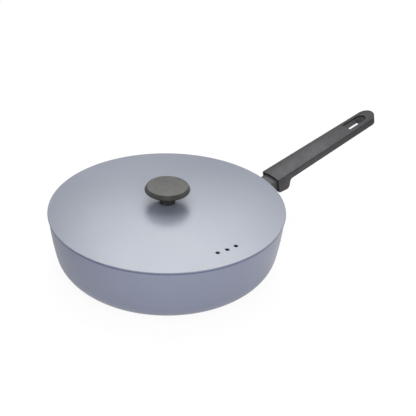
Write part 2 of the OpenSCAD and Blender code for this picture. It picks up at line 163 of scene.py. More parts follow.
class HandleSizes(bpy.types.PropertyGroup):
    """Sizes of the grip and the flame guard, in the handle's own frame."""
    neck_l: length("Neck", "Distance from the rim to the grip's front", 27.1 * MM)
    edge_z: length("Edge height", "Height of the long top edges in front", 67 * MM)
    rise: angle("Rise", "Rise of the handle above level", 12.5)
    grip_l: length("Grip", "Length of the grip", 192.5 * MM)
    grip_w: length("Width", "Width of the grip at its front", 31.0 * MM)
    tip_r: length("Tip", "Radius of the round end", 12.7 * MM)
    crown: length("Crown", "Rise of the arched top", 2.1 * MM)
    bar_h: length("Bar", "Depth of the bar below the edges", 10 * MM)
    guard_h: length("Guard", "Depth of the finger guard's front", 20.1 * MM)
    guard_drop: angle("Guard drop", "Lie of the guard's underside", 9)
    guard_lean: angle("Guard lean", "Lean of the guard's rear face", 17)
    heel_x: length("Heel", "Front of the grip to the heel's centre", 13.1 * MM)
    heel_r: length("Heel radius", "Radius of the guard's heel", 6 * MM)
    hollow_r: length("Hollow", "Radius between guard and bar", 5 * MM)
    mouth_wall: length("Mouth wall", "Wall round the open front", 1.7 * MM)
    mouth_depth: length("Mouth depth", "Depth of the open front", 7.5 * MM)
    slot_end_w: length("Slot end", "Grip left past the slot", 14.7 * MM)
    slot_l: length("Slot length", "Length of the hanging slot", 35.8 * MM)
    slot_w: length("Slot width", "Width of the hanging slot", 15.3 * MM)
    slot_low_soft: length("Slot's lower edge", "Radius of that edge", 0.3 * MM)
    groove: length("Slot groove", "Its depth under the slot's top edge", 0.8 * MM)
    groove_z: length("Groove top", "Level of the groove's upper side", 1.0 * MM)
    groove_h: length("Groove height", "Height of the groove", 1.9 * MM)
    ramp_l: length("Ramp", "Reach of the ramp under the slot's round end", 7.2 * MM)
    ramp_top: length("Ramp top", "Slot's end to the ramp's upper edge", 0.8 * MM)
    tongue_w: length("Tongue", "Width of the bracket's socket", 13.2 * MM)
    tongue_h: length("Socket height", "Height of the bracket's socket", 4.6 * MM)
    tongue_z: length("Socket depth", "Edges down to the socket's floor", 8.2 * MM)
    tongue_l: length("Socket length", "Length of the bracket's socket", 34.1 * MM)
    screw_x: length("Screw", "Front of the grip to the screw", 12.3 * MM)
    bore_r: length("Bore", "Radius of the screw's bore", 2.8 * MM)
    counter_r: length("Counterbore", "Radius of the counterbore", 4.8 * MM)
    counter_z: length("Counterbore seat", "Edges down to its ceiling", 12.8 * MM)
    # Between these two a painted shade darkens the grip towards its round end, and its
    # gloss falls
    shade_fade_from: length("Fade from", "Where the grip starts to turn duller", 82 * MM)
    shade_fade_to: length("Fade to", "Where it is dullest", 174 * MM)
    # Painted light: the slot's walls take the top's colour this many times paler
    slot_painted_light: amount("Slot tone", "Tone of its walls, in tones of the top", 1.25)
    top_soft: length("Top edges", "Radius of the top edges", 0.25 * MM)
    low_soft: length("Lower edges", "Radius of the lower edges", 0.6 * MM)
    mouth_soft: length("Mouth edges", "Radius of the open front's edges", 0.3 * MM)
    sleeve_w: length("Guard width", "Flame guard's width at the grip", 24.6 * MM)
    sleeve_taper: angle("Guard taper", "Taper of each side", 5)
    sleeve_drop: length("Guard step", "Drop below the grip's top", 3.5 * MM)
    sleeve_h: length("Guard depth", "Depth of the flame guard", 15.6 * MM)
    sleeve_t: length("Guard wall", "Wall of the flame guard", 1.4 * MM)
    sleeve_soft: length("Guard edges", "Radius of its edges", 0.3 * MM)
    root_overlap: length("Guard root", "Overlap that the wall cuts off", 16 * MM)


class Finishes(bpy.types.PropertyGroup):
    """Colours of the finishes."""
    # One enamel in two colours: the pan's copy is darker and bluer, with less gloss, as
    # painted shade for the wall, which stands in a dimmer, bluer light than the lid
    lid_enamel: paint("Lid enamel", "Satin grey-blue enamel", (0.159, 0.1775, 0.2215))
    pan_shaded_enamel: paint("Pan shaded enamel", "The same on the pan's wall", (0.133, 0.147, 0.208))
    lid_ior: amount("Lid gloss", "Refractive index of the lid's enamel", 1.9)
    pan_ior: amount("Pan gloss", "Refractive index of the pan's enamel", 1.6)
    # Painted shade: the enamel's colour is multiplied by this in the gap between lid and
    # rim
    rim_shade_tint: paint("Band tint", "Share of the enamel's colour left in those bands",
                     (0.35, 0.42, 0.62))
    coating: paint("Coating", "Non-stick coating inside", (0.040, 0.041, 0.045))
    coating_fleck: paint("Coating fleck", "Flecks in the coating", (0.20, 0.20, 0.21))
    turned: paint("Turned aluminium", "Bare turned base and rim", (0.70, 0.71, 0.73))
    steel: paint("Steel", "Brushed steel disc", (0.56, 0.56, 0.57))
    grip: paint("Grip", "Matt dark grey moulding of the grip", (0.0425, 0.0406, 0.0447))
    grip_shade: paint("Grip shade", "Its darker tone", (0.025, 0.0239, 0.0269))
    knob: paint("Knob", "Moulding of the knob", (0.04, 0.0387, 0.0368))
    knob_shade: paint("Knob shade", "Its darker tone", (0.0145, 0.0139, 0.0127))
    guard: paint("Guard", "Dark satin paint of the guard", (0.046, 0.0442, 0.048))
    cast: paint("Cast aluminium", "Bracket behind the guard", (0.62, 0.63, 0.65))
    zinc: paint("Zinc plate", "Screws and washers", (0.68, 0.69, 0.72))
    brass: paint("Brass", "Bush in the knob", (0.72, 0.56, 0.28))


class StageSettings(bpy.types.PropertyGroup):
    """The camera, the floor and the lights."""
    turn: angle("Turn", "Turn of the camera from the handle's side", 37.277)
    elevation: angle("Elevation", "Height of the camera above level", 31.272)
    distance: length("Distance", "Camera to the middle of the pan", 1.18)
    aim_z: length("Aim height", "Height of that middle", 0.05)
    yaw: angle("Yaw", "Turn of the view to the side", -2.797)
    pitch: angle("Pitch", "Tilt of the view below level", 30.090)
    roll: angle("Roll", "Roll of the view", -1.797)
    focal: amount("Focal length", "Focal length in millimetres", 83.26)
    floor: paint("Floor", "Colour of the floor", (0.86, 0.86, 0.86))
    floor_glow: amount("Floor glow", "Share of plain white that the camera sees", 0.92)
    floor_sheen: amount("Floor sheen", "How white reflections show the floor", 0.5)
    shade_from: length("Shaded side", "How far left that white is dimmest", 0.20)
    shade_to: length("Shade's end", "How far left it is full again", 0.10)
    shade: amount("Shade", "Strength of that white where it is dimmest", 0.1)
    studio: amount("Studio", "Brightness of the studio above its white horizon", 0.28)
    ambient: amount("Ambient", "Strength of the light from all round", 0.07)
    overhead: amount("Overhead", "Strength of the light from straight above", 1.05)
    key: amount("Key light", "Power of the soft light beyond the pan", 12.1)
    key_turn: angle("Key turn", "Turn of that light to the right of straight beyond", 3)
    key_rise: angle("Key rise", "Height of that light above level", 61.2)
    key_width: length("Key width", "Width of that light", 0.78)
    key_height: length("Key height", "Height of that light", 1.35)
    key_distance: length("Key distance", "That light to the pan", 1.25)
    fill: amount("Fill light", "Power of the soft light beside the camera", 37.5)
    fill_turn: angle("Fill turn", "Turn of that light to the right of the camera", 6)
    fill_rise: angle("Fill rise", "Height of that light above level", 33)
    fill_size: length("Fill size", "Side of that light", 1.2)
    fill_distance: length("Fill distance", "That light to the pan", 2.0)


class PanLooks(bpy.types.PropertyGroup):
    """All that a user would change."""
    pan: bpy.props.PointerProperty(type=PanSizes)
    lid: bpy.props.PointerProperty(type=LidSizes)
    knob: bpy.props.PointerProperty(type=KnobSizes)
    handle: bpy.props.PointerProperty(type=HandleSizes)
    finish: bpy.props.PointerProperty(type=Finishes)
    stage: bpy.props.PointerProperty(type=StageSettings)


# ------------------------------------------------------------------ node tools

def feed(tree, socket, value):
    """Links another socket to an input, or sets a plain value there."""
    if isinstance(value, bpy.types.NodeSocket):
        tree.links.new(value, socket)
    elif value is not None:
        socket.default_value = value


def set_inputs(tree, node, **values):
    """Feeds a node's inputs by name, with an underscore for a space."""
    for label, value in values.items():
        feed(tree, node.inputs[label.replace("_", " ")], value)
    return node


def add_node(tree, kind, **values):
    """A new node of that kind with its inputs fed."""
    return set_inputs(tree, tree.nodes.new(kind), **values)


def shader_group(name, numbers, outputs):
    """A new shader group with a vector, named numbers and named outputs."""
    tree = bpy.data.node_groups.new(name, "ShaderNodeTree")
    tree.interface.new_socket("Vector", in_out="INPUT", socket_type="NodeSocketVector")
    for label, default in numbers.items():
        socket = tree.interface.new_socket(label, in_out="INPUT",
                                           socket_type="NodeSocketFloat")
        socket.default_value = default
    for label in outputs:
        tree.interface.new_socket(label, in_out="OUTPUT", socket_type="NodeSocketFloat")
    given = tree.nodes.new("NodeGroupInput").outputs
    return tree, given, tree.nodes.new("NodeGroupOutput")


def maths(tree, operation, first, second=None, clamp=False):
    """A Math node. Its values are numbers or sockets."""
    node = tree.nodes.new("ShaderNodeMath")
    node.operation = operation
    node.use_clamp = clamp
    feed(tree, node.inputs[0], first)
    feed(tree, node.inputs[1], second)
    return node.outputs[0]


def between(tree, mask, low, high):
    """A value between two others: the low one at 0 of the mask, the high one at 1."""
    span = maths(tree, "SUBTRACT", high, low)
    return maths(tree, "ADD", low, maths(tree, "MULTIPLY", mask, span))


def reach_of(tree, x, y):
    """Distance from the axis to a point that is x and y away from it."""
    square = maths(tree, "ADD", maths(tree, "MULTIPLY", x, x),
                   maths(tree, "MULTIPLY", y, y))
    return maths(tree, "SQRT", square)


def along_way(tree, vector, way):
    """How far a vector reaches along a direction."""
    node = tree.nodes.new("ShaderNodeVectorMath")
    node.operation = "DOT_PRODUCT"
    feed(tree, node.inputs[0], vector)
    feed(tree, node.inputs[1], way)
    return node.outputs["Value"]


def split_up(tree, vector):
    """The X, Y and Z of a vector."""
    return add_node(tree, "ShaderNodeSeparateXYZ", Vector=vector).outputs


def remap(tree, value, low, high, to_low=0.0, to_high=1.0):
    """Stretches what lies between low and high to 0 to 1, or to the values given."""
    return add_node(tree, "ShaderNodeMapRange", Value=value, From_Min=low,
                    From_Max=high, To_Min=to_low, To_Max=to_high).outputs["Result"]


def noise(tree, vector, scale, detail, rough=0.5):
    """A noise texture."""
    return add_node(tree, "ShaderNodeTexNoise", Vector=vector, Scale=scale,
                    Detail=detail, Roughness=rough).outputs[0]


def blend_colours(tree, mask, first, second, how="MIX"):
    """Mixes two colours, each a colour or a socket, by a mask."""
    node = tree.nodes.new("ShaderNodeMix")
    node.data_type = "RGBA"
    node.blend_type = how
    feed(tree, node.inputs[0], mask)
    for socket, value in ((node.inputs[6], first), (node.inputs[7], second)):
        if not isinstance(value, bpy.types.NodeSocket):
            value = (*value, 1.0)
        feed(tree, socket, value)
    return node.outputs[2]


def scaled(colour, factor):
    """A colour that many times as bright, up to white."""
    return tuple(min(1.0, part * factor) for part in colour)


# --------------------------------------------------------------- shader groups

def grain_group(name):
    """Spark-eroded grain of a moulding tool, with a faint broad mottle."""
    tree, given, made = shader_group(name, {"Grain": 1800.0, "Mottle": 60.0},
                                     ("Height", "Mottle"))
    vector = given["Vector"]
    fine_share, pit_share = 0.65, 0.35
    fine = noise(tree, vector, given["Grain"], detail=2.0, rough=0.6)
    pits = add_node(tree, "ShaderNodeTexVoronoi", Vector=vector, Scale=given["Grain"])
    pits.feature = "SMOOTH_F1"
    height = maths(tree, "ADD", maths(tree, "MULTIPLY", fine, fine_share),
                   maths(tree, "MULTIPLY", pits.outputs["Distance"], pit_share))
    broad = noise(tree, vector, given["Mottle"], detail=4.0, rough=0.62)
    set_inputs(tree, made, Height=height, Mottle=remap(tree, broad, 0.32, 0.68))
    return tree


def enamel_group(name):
    """Orange peel, fine pearl flakes and the slow drift of tone of a baked enamel."""
    numbers = {"Peel": 420.0, "Flake": 2600.0, "Cloud": 9.0}
    tree, given, made = shader_group(name, numbers, ("Height", "Flake", "Drift"))
    vector = given["Vector"]
    flakes = add_node(tree, "ShaderNodeTexVoronoi", Vector=vector, Scale=given["Flake"])
    tones = add_node(tree, "ShaderNodeSeparateColor", Color=flakes.outputs["Color"])
    cloud = noise(tree, vector, given["Cloud"], detail=2.0)
    set_inputs(tree, made,
               Height=noise(tree, vector, given["Peel"], detail=1.5, rough=0.4),
               Flake=remap(tree, tones.outputs[0], 0.55, 1.0),
               Drift=remap(tree, cloud, 0.35, 0.65))
    return tree


def rings_group(name):
    """Marks of a lathe tool: fine rings round the Z axis, with broader bands."""
    tree, given, made = shader_group(name, {"Rings": 1500.0, "Bands": 160.0},
                                     ("Height", "Band"))
    x, y, _ = split_up(tree, given["Vector"])
    radius = reach_of(tree, x, y)

    def marks(number, detail):
        """Random rings, that many in each metre."""
        node = tree.nodes.new("ShaderNodeTexNoise")
        node.noise_dimensions = "1D"
        set_inputs(tree, node, W=maths(tree, "MULTIPLY", radius, number), Scale=1.0,
                   Detail=detail)
        return node.outputs[0]

    set_inputs(tree, made, Height=marks(given["Rings"], detail=3.0),
               Band=marks(given["Bands"], detail=2.0))
    return tree


def edge_group(name):
    """Mask of convex edges, where handling polishes a surface first and where a finish
    paints a highlight.
    """
    tree, given, made = shader_group(name, {"Width": 0.8 * MM, "Breaks": 320.0},
                                     ("Mask",))
    bevel = add_node(tree, "ShaderNodeBevel", Radius=given["Width"])
    bevel.samples = 4
    facing = tree.nodes.new("ShaderNodeNewGeometry").outputs["Normal"]
    edge = remap(tree, along_way(tree, bevel.outputs[0], facing), 0.995, 0.80)
    patches = noise(tree, given["Vector"], given["Breaks"], detail=4.0, rough=0.7)
    set_inputs(tree, made, Mask=maths(tree, "MULTIPLY", edge,
                                      remap(tree, patches, 0.3, 0.75)))
    return tree


def handling_group(name):
    """Broad, faint change of gloss from wiping and handling."""
    tree, given, made = shader_group(name, {"Size": 14.0, "Low": 0.4, "High": 0.5},
                                     ("Roughness",))
    broad = noise(tree, given["Vector"], given["Size"], detail=5.0, rough=0.6)
    set_inputs(tree, made, Roughness=between(
        tree, remap(tree, broad, 0.3, 0.7), given["Low"], given["High"]))
    return tree


def rim_shade_group(name):
    """Mask of a band round the Z axis, outside a radius, where a painted shade darkens
    the enamel. It starts at a level and is full one reach further, upwards, or downwards
    where the reach is negative."""
    tree, given, made = shader_group(
        name, {"Radius": 140 * MM, "Level": 77 * MM, "Reach": 0.5 * MM}, ("Mask",))
    x, y, z = split_up(tree, given["Vector"])
    outside = maths(tree, "GREATER_THAN", reach_of(tree, x, y), given["Radius"])
    past = maths(tree, "SUBTRACT", z, given["Level"])
    rising = maths(tree, "DIVIDE", past, given["Reach"], clamp=True)
    set_inputs(tree, made, Mask=maths(tree, "MULTIPLY", outside, rising))
    return tree


def slot_light_group(name):
    """Mask of the hanging slot's inner walls, where the grip's finish paints light in,
    in the handle's own frame: within a radius of the slot's middle line, from its start
    to the centre of its round end."""
    tree, given, made = shader_group(
        name, {"Start": 140 * MM, "Centre": 170 * MM, "Radius": 7.7 * MM}, ("Mask",))
    x, y, _ = split_up(tree, given["Vector"])
    past = maths(tree, "MAXIMUM", maths(tree, "SUBTRACT", x, given["Centre"]), 0.0)
    within = maths(tree, "LESS_THAN", reach_of(tree, past, y), given["Radius"])
    after = maths(tree, "GREATER_THAN", x, given["Start"])
    set_inputs(tree, made, Mask=maths(tree, "MULTIPLY", within, after))
    return tree


def grip_light_group(name):
    """Painted light and shade on the grip, in the handle's own frame: its top is paler
    towards one side, as if lit from there, its sides are darker, most of all in a
    painted shade line just under the long edges."""
    tree, given, made = shader_group(
        name, {"Half": 15.5 * MM, "Far": 0.6, "Near": 1.5, "Side": 0.75, "Line": 0.1},
        ("Tone",))
    line_low, line_high, top_low = -2.2 * MM, -0.6 * MM, -0.3 * MM
    _, y, z = split_up(tree, given["Vector"])
    across_top = remap(tree, maths(tree, "DIVIDE", y, given["Half"]), 1.0, -1.0)
    top = between(tree, across_top, given["Far"], given["Near"])
    side = between(tree, remap(tree, z, line_low, line_high), given["Side"],
                   given["Line"])
    set_inputs(tree, made, Tone=between(tree, remap(tree, z, top_low, 0.0), side, top))
    return tree


# ------------------------------------------------------------------- finishes

def new_finish(name, centre=None, turn=(0.0, 0.0, 0.0)):
    """A material with a Principled shader and the piece's own coordinates, seen from a
    centre where one is given. Returns it, its tree, the shader and the coordinates."""
    material = bpy.data.materials.new(name)
    material.use_nodes = True
    tree = material.node_tree
    vector = tree.nodes.new("ShaderNodeTexCoord").outputs["Object"]
    if centre is not None:
        place = add_node(tree, "ShaderNodeMapping", Vector=vector, Location=centre,
                         Rotation=turn)
        place.vector_type = "TEXTURE"
        vector = place.outputs["Vector"]
    return material, tree, tree.nodes["Principled BSDF"], vector


def use_group(tree, name, make, vector, **values):
    """Places a node group, built at its first use, and returns its outputs."""
    node = tree.nodes.new("ShaderNodeGroup")
    node.node_tree = bpy.data.node_groups.get(name) or make(name)
    return set_inputs(tree, node, Vector=vector, **values).outputs


def bump(tree, shader, height, strength, depth):
    """Feeds a height to the shader's normal."""
    node = add_node(tree, "ShaderNodeBump", Strength=strength, Distance=depth,
                    Height=height)
    set_inputs(tree, shader, Normal=node.outputs[0])


def enamel_finish(name, colour, tint, ior, radius, level, reach):
    """Satin grey-blue enamel on aluminium. A painted shade makes it darker, and duller,
    in a band along the edge, outside the radius, from the level on: the shadow in the
    gap between the lid's hem and the pan's rim."""
    thin_tone, flake_tone, flake_share, band_rough = 0.955, 1.9, 0.16, 0.15
    material, tree, shader, vector = new_finish(name)
    skin = use_group(tree, "Enamel skin", enamel_group, vector)
    tone = blend_colours(tree, skin["Drift"], scaled(colour, thin_tone), colour)
    flakes = maths(tree, "MULTIPLY", skin["Flake"], flake_share)
    tone = blend_colours(tree, flakes, tone, scaled(colour, flake_tone))
    # Painted shade along the edge, where the lid's hem meets the pan's rim
    band = use_group(tree, "Rim band", rim_shade_group, vector, Radius=radius, Level=level,
                     Reach=reach)["Mask"]
    tone = blend_colours(tree, band, tone, [a * b for a, b in zip(colour, tint)])
    gloss = use_group(tree, "Handling marks", handling_group, vector,
                      Size=11.0, Low=0.33, High=0.39)["Roughness"]
    duller = maths(tree, "MULTIPLY", band, band_rough)
    set_inputs(tree, shader, Base_Color=tone, IOR=ior,
               Roughness=maths(tree, "ADD", gloss, duller))
    bump(tree, shader, skin["Height"], strength=0.12, depth=0.06 * MM)
    return material


def coating_finish(name, colour, fleck):
    """Dark non-stick coating with fine pale flecks, laid over turned aluminium."""
    ring_share, fleck_share = 0.7, 0.5
    material, tree, shader, vector = new_finish(name)
    flecks = use_group(tree, "Enamel skin", enamel_group, vector,
                       Peel=700.0, Flake=900.0)
    marks = use_group(tree, "Lathe rings", rings_group, vector,
                      Rings=700.0, Bands=90.0)
    mask = remap(tree, flecks["Flake"], 0.86, 0.97, to_high=0.7)
    gloss = use_group(tree, "Handling marks", handling_group, vector,
                      Size=16.0, Low=0.34, High=0.46)["Roughness"]
    set_inputs(tree, shader, Base_Color=blend_colours(tree, mask, colour, fleck),
               Roughness=gloss, Coat_Weight=0.2, Coat_Roughness=0.3)
    height = maths(tree, "ADD", maths(tree, "MULTIPLY", marks["Height"], ring_share),
                   maths(tree, "MULTIPLY", flecks["Height"], fleck_share))
    bump(tree, shader, height, strength=0.25, depth=0.08 * MM)
    return material


def ringed_metal(name, colour, dark, rough, rings, bands, strength, depth,
                 band_mask=(0.3, 0.7), brushed=0.0, centre=None, turn=0.0):
    """Bare or plated metal with rings from its tool, round the object's Z axis, or
    round the axis of a small piece where its centre is given."""
    material, tree, shader, vector = new_finish(name, centre, (0.0, turn, 0.0))
    marks = use_group(tree, "Lathe rings", rings_group, vector,
                      Rings=rings, Bands=bands)
    tone = blend_colours(tree, remap(tree, marks["Band"], *band_mask),
                         scaled(colour, dark), colour)
    set_inputs(tree, shader, Base_Color=tone, Metallic=1.0, Anisotropic=brushed,
               Roughness=remap(tree, marks["Height"], 0.3, 0.7, *rough))
    bump(tree, shader, marks["Height"], strength, depth)
    return material


def fastening_metal(name, colour, node, turn=0.0, rough=(0.2, 0.34)):
    """Zinc plate or brass of a small CAD piece, with rings round its own axis."""
    low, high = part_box(node)
    return ringed_metal(name, colour, dark=0.85, rough=rough, rings=5200.0,
                        bands=1500.0, strength=0.3, depth=0.02 * MM,
                        centre=(low + high) / 2, turn=turn)


def cast_finish(name, colour):
    """Rough cast aluminium."""
    material, tree, shader, vector = new_finish(name)
    skin = use_group(tree, "Moulded grain", grain_group, vector,
                     Grain=900.0, Mottle=120.0)
    tone = blend_colours(tree, skin["Mottle"], scaled(colour, 0.8), colour)
    set_inputs(tree, shader, Base_Color=tone, Metallic=1.0,
               Roughness=remap(tree, skin["Height"], 0.3, 0.7, 0.40, 0.55))
    bump(tree, shader, skin["Height"], strength=0.6, depth=0.15 * MM)
    return material


def moulded_finish(name, colour, shade, rough, ior, grain, depth, handle=None):
    """Matt moulding with tool grain, a faint mottle and worn-in edges with a painted
    highlight. With a handle it lies in the handle's frame, turns darker outwards in
    painted shade, gets painted light across its top and is paler inside the slot by
    painted light."""
    tip_shade_tone, speck_tone, worn_highlight_tone = 0.7, 1.35, 1.5
    worn_highlight_share, faded_rough = 0.35, 0.06
    centre, turn = None, 0.0
    if handle:
        centre, turn = handle_front(handle), -handle.rise
    material, tree, shader, vector = new_finish(name, centre, (0.0, turn, 0.0))
    skin = use_group(tree, "Moulded grain", grain_group, vector,
                     Grain=grain, Mottle=95.0)
    gloss = use_group(tree, "Handling marks", handling_group, vector,
                      Size=30.0, Low=rough[0], High=rough[1])["Roughness"]
    tone = blend_colours(tree, skin["Mottle"], shade, colour)
    if handle:
        # Painted shade: the colour turns darker towards the round end, where less light
        # falls; the roughness also rises there
        shaded_and_duller = remap(tree, split_up(tree, vector)[0], handle.shade_fade_from, handle.shade_fade_to)
        tone = blend_colours(tree, shaded_and_duller, tone, scaled(shade, tip_shade_tone))
        gloss = maths(tree, "ADD", gloss, maths(tree, "MULTIPLY", shaded_and_duller, faded_rough))
    specks = remap(tree, skin["Height"], 0.40, 0.58, to_high=0.30)
    tone = blend_colours(tree, specks, tone, scaled(colour, speck_tone))
    # Convex edges turn paler: handling wear, and a painted highlight along the edges
    edge = use_group(tree, "Edge polish", edge_group, vector)["Mask"]
    tone = blend_colours(tree, maths(tree, "MULTIPLY", edge, worn_highlight_share), tone,
                         scaled(colour, worn_highlight_tone))
    if handle:
        # Painted light: the top is paler on the near side, and the sides are in painted
        # shade, darkest just under the long edges
        painted_light = use_group(tree, "Grip tone", grip_light_group, vector, Half=handle.grip_w / 2)
        tone = blend_colours(tree, 1.0, tone, painted_light["Tone"], "MULTIPLY")
        # Painted light inside the slot: its walls take a paler tone, for light bouncing
        # into it
        start, end, half = slot_span(handle)
        inside = use_group(tree, "Slot wall", slot_light_group, vector, Centre=end - half,
                           Start=start - NEAR, Radius=half + NEAR)
        tone = blend_colours(tree, inside["Mask"], tone,
                             scaled(colour, handle.slot_painted_light))
    set_inputs(tree, shader, Base_Color=tone, Roughness=gloss, IOR=ior)
    bump(tree, shader, skin["Height"], strength=0.5, depth=depth)
    return material


# ----------------------------------------------------------------- mesh tools

def arc(centre_x, centre_z, radius, start, end, steps):
    """Points of an arc in the section plane, angles in degrees."""
    turns = [math.radians(start + (end - start) * i / steps) for i in range(steps + 1)]
    return [(centre_x + radius * math.cos(turn), centre_z + radius * math.sin(turn))
            for turn in turns]


def thinned(points):
    """The same points without any that repeats the one before it."""
    kept = []
    for point in points:
        if not kept or math.dist(point, kept[-1]) > WELD:
            kept.append(point)
    return kept


def new_object(name, data):
    """An object in the scene for a mesh, a lamp or a camera."""
    item = bpy.data.objects.new(name, data)
    bpy.context.scene.collection.objects.link(item)
    return item


@contextlib.contextmanager
def opened(mesh):
    """Opens a mesh to be worked on, and writes it back."""
    work = bmesh.new()
    work.from_mesh(mesh)
    yield work
    work.to_mesh(mesh)
    work.free()


def section_object(name, points, closed=False):
    """An object whose mesh is a line through the points, in the XZ plane."""
    points = thinned(points)
    mesh = bpy.data.meshes.new(name)
    edges = [(i, i + 1) for i in range(len(points) - 1)]
    if closed:
        edges.append((len(points) - 1, 0))
    mesh.from_pydata([(x, 0.0, z) for x, z in points], edges, [])
    return new_object(name, mesh)


def nodes_group(name, **inputs):
    """A new Geometry Nodes tree with geometry in and out, and named inputs, each with
    the kind of its socket."""
    tree = bpy.data.node_groups.new(name, "GeometryNodeTree")
    tree.interface.new_socket("Geometry", in_out="INPUT",
                              socket_type="NodeSocketGeometry")
    for label, kind in inputs.items():
        tree.interface.new_socket(label.replace("_", " "), in_out="INPUT",
                                  socket_type="NodeSocket" + kind)
    tree.interface.new_socket("Geometry", in_out="OUTPUT",
                              socket_type="NodeSocketGeometry")
    given = tree.nodes.new("NodeGroupInput").outputs
    return tree, given, tree.nodes.new("NodeGroupOutput")


def turning(tree, section, segments):
    """Nodes that turn a section in the XZ plane round the Z axis."""
    path = add_node(tree, "GeometryNodeCurvePrimitiveCircle", Resolution=segments,
                    Radius=1.0)
    laid = add_node(tree, "GeometryNodeTransform", Geometry=section,
                    Translation=(-1.0, 0.0, 0.0), Rotation=(math.pi / 2, 0.0, 0.0))
    line = add_node(tree, "GeometryNodeMeshToCurve", Mesh=laid.outputs[0])
    swept = add_node(tree, "GeometryNodeCurveToMesh", Curve=path.outputs[0],
                     Profile_Curve=line.outputs[0])
    return add_node(tree, "GeometryNodeMergeByDistance", Geometry=swept.outputs[0],
                    Distance=2 * WELD).outputs[0]


def finish_tree(tree, geometry, given, made):
    """Ends a tree in Realize Instances and Set Material."""
    real = add_node(tree, "GeometryNodeRealizeInstances", Geometry=geometry)
    coloured = add_node(tree, "GeometryNodeSetMaterial", Geometry=real.outputs[0],
                        Material=given["Material"])
    set_inputs(tree, made, Geometry=coloured.outputs[0])
    return tree


def lathe_tree(name):
    """Turns a section round the Z axis."""
    tree, given, made = nodes_group(name, Segments="Int", Material="Material")
    turned = turning(tree, given["Geometry"], given["Segments"])
    return finish_tree(tree, turned, given, made)


def lid_tree(name):
    """Turns the lid's section and cuts its row of steam holes, set out by rule."""
    tree, given, made = nodes_group(
        name, Segments="Int", Holes="Int", Hole_Radius="Float", Hole_Edge="Float",
        Ring_Radius="Float", Hole_Angle="Float", Turn="Float", Height="Float",
        Material="Material")
    turned = turning(tree, given["Geometry"], given["Segments"])
    hole_steps, drill_l = 48, 12 * MM
    drill = add_node(tree, "GeometryNodeMeshCylinder", Vertices=hole_steps,
                     Radius=given["Hole Radius"], Depth=drill_l)
    # It starts at the lid's level in a hole's middle, so it bevels the higher side
    sink = add_node(
        tree, "GeometryNodeMeshCone", Vertices=hole_steps,
        Radius_Top=maths(tree, "ADD", given["Hole Radius"], given["Hole Edge"]),
        Radius_Bottom=given["Hole Radius"], Depth=given["Hole Edge"])
    places = add_node(tree, "GeometryNodePoints", Count=given["Holes"])
    index = tree.nodes.new("GeometryNodeInputIndex").outputs[0]
    middle = maths(tree, "MULTIPLY", maths(tree, "SUBTRACT", given["Holes"], 1.0), 0.5)
    off_middle = maths(tree, "SUBTRACT", index, middle)
    turn = maths(tree, "ADD", given["Turn"],
                 maths(tree, "MULTIPLY", off_middle, given["Hole Angle"]))
    spot = add_node(
        tree, "ShaderNodeCombineXYZ", Z=given["Height"],
        X=maths(tree, "MULTIPLY", maths(tree, "COSINE", turn), given["Ring Radius"]),
        Y=maths(tree, "MULTIPLY", maths(tree, "SINE", turn), given["Ring Radius"]))
    laid = add_node(tree, "GeometryNodeSetPosition", Geometry=places.outputs[0],
                    Position=spot.outputs[0])
    for cutter in (drill, sink):
        row = add_node(tree, "GeometryNodeInstanceOnPoints", Points=laid.outputs[0],
                       Instance=cutter.outputs[0])
        real = add_node(tree, "GeometryNodeRealizeInstances", Geometry=row.outputs[0])
        cut = tree.nodes.new("GeometryNodeMeshBoolean")
        cut.operation = "DIFFERENCE"
        cut.solver = "EXACT"
        set_inputs(tree, cut, Mesh_1=turned, Mesh_2=real.outputs[0])
        turned = cut.outputs[0]
    return finish_tree(tree, turned, given, made)


def plugs_tree(name, rings):
    """Plugs of the base's own metal in the disc's holes, ring by ring."""
    tree, given, made = nodes_group(
        name, Holes="Int", Ring_Step="Float", Plug_Radius="Float", Plug_Height="Float",
        Plug_Centre="Float", Material="Material")
    plug_steps = 24
    plug = add_node(tree, "GeometryNodeMeshCylinder", Vertices=plug_steps,
                    Radius=given["Plug Radius"], Depth=given["Plug Height"])
    gather = tree.nodes.new("GeometryNodeJoinGeometry")
    for ring in range(1, rings + 1):
        row = add_node(tree, "GeometryNodeMeshCircle",
                       Vertices=maths(tree, "MULTIPLY", given["Holes"], float(ring)),
                       Radius=maths(tree, "MULTIPLY", given["Ring Step"], float(ring)))
        feed(tree, gather.inputs[0], row.outputs[0])
    lift = add_node(tree, "ShaderNodeCombineXYZ", Z=given["Plug Centre"])
    laid = add_node(tree, "GeometryNodeTransform", Geometry=gather.outputs[0],
                    Translation=lift.outputs[0])
    placed = add_node(tree, "GeometryNodeInstanceOnPoints", Points=laid.outputs[0],
                      Instance=plug.outputs[0])
    return finish_tree(tree, placed.outputs[0], given, made)


def run_tree(piece, tree, **values):
    """Runs a Geometry Nodes tree on a piece and keeps the result as its plain mesh."""
    modifier = piece.modifiers.new(tree.name, "NODES")
    modifier.node_group = tree
    sockets = {item.name: item.identifier for item in tree.interface.items_tree
               if item.in_out == "INPUT"}
    for label, value in values.items():
        modifier[sockets[label.replace("_", " ")]] = value
    keep_result(piece)


def keep_result(piece):
    """Replaces a piece's mesh and modifiers by what they make."""
    graph = bpy.context.evaluated_depsgraph_get()
    mesh = bpy.data.meshes.new_from_object(piece.evaluated_get(graph), depsgraph=graph)
    piece.modifiers.clear()
    piece.data = mesh
    mesh.name = piece.name


def tidy_solid(piece):
    """Merges a closed mesh, turns its faces outwards, smooths all but sharp edges."""
    sharp = math.radians(32)
    with opened(piece.data) as work:
        bmesh.ops.remove_doubles(work, verts=work.verts, dist=WELD)
        bmesh.ops.dissolve_degenerate(work, dist=WELD / 10, edges=work.edges)
        bmesh.ops.recalc_face_normals(work, faces=work.faces)
        if work.calc_volume(signed=True) < 0:
            bmesh.ops.reverse_faces(work, faces=work.faces)
    piece.data.shade_smooth()
    piece.data.set_sharp_from_angle(angle=sharp)


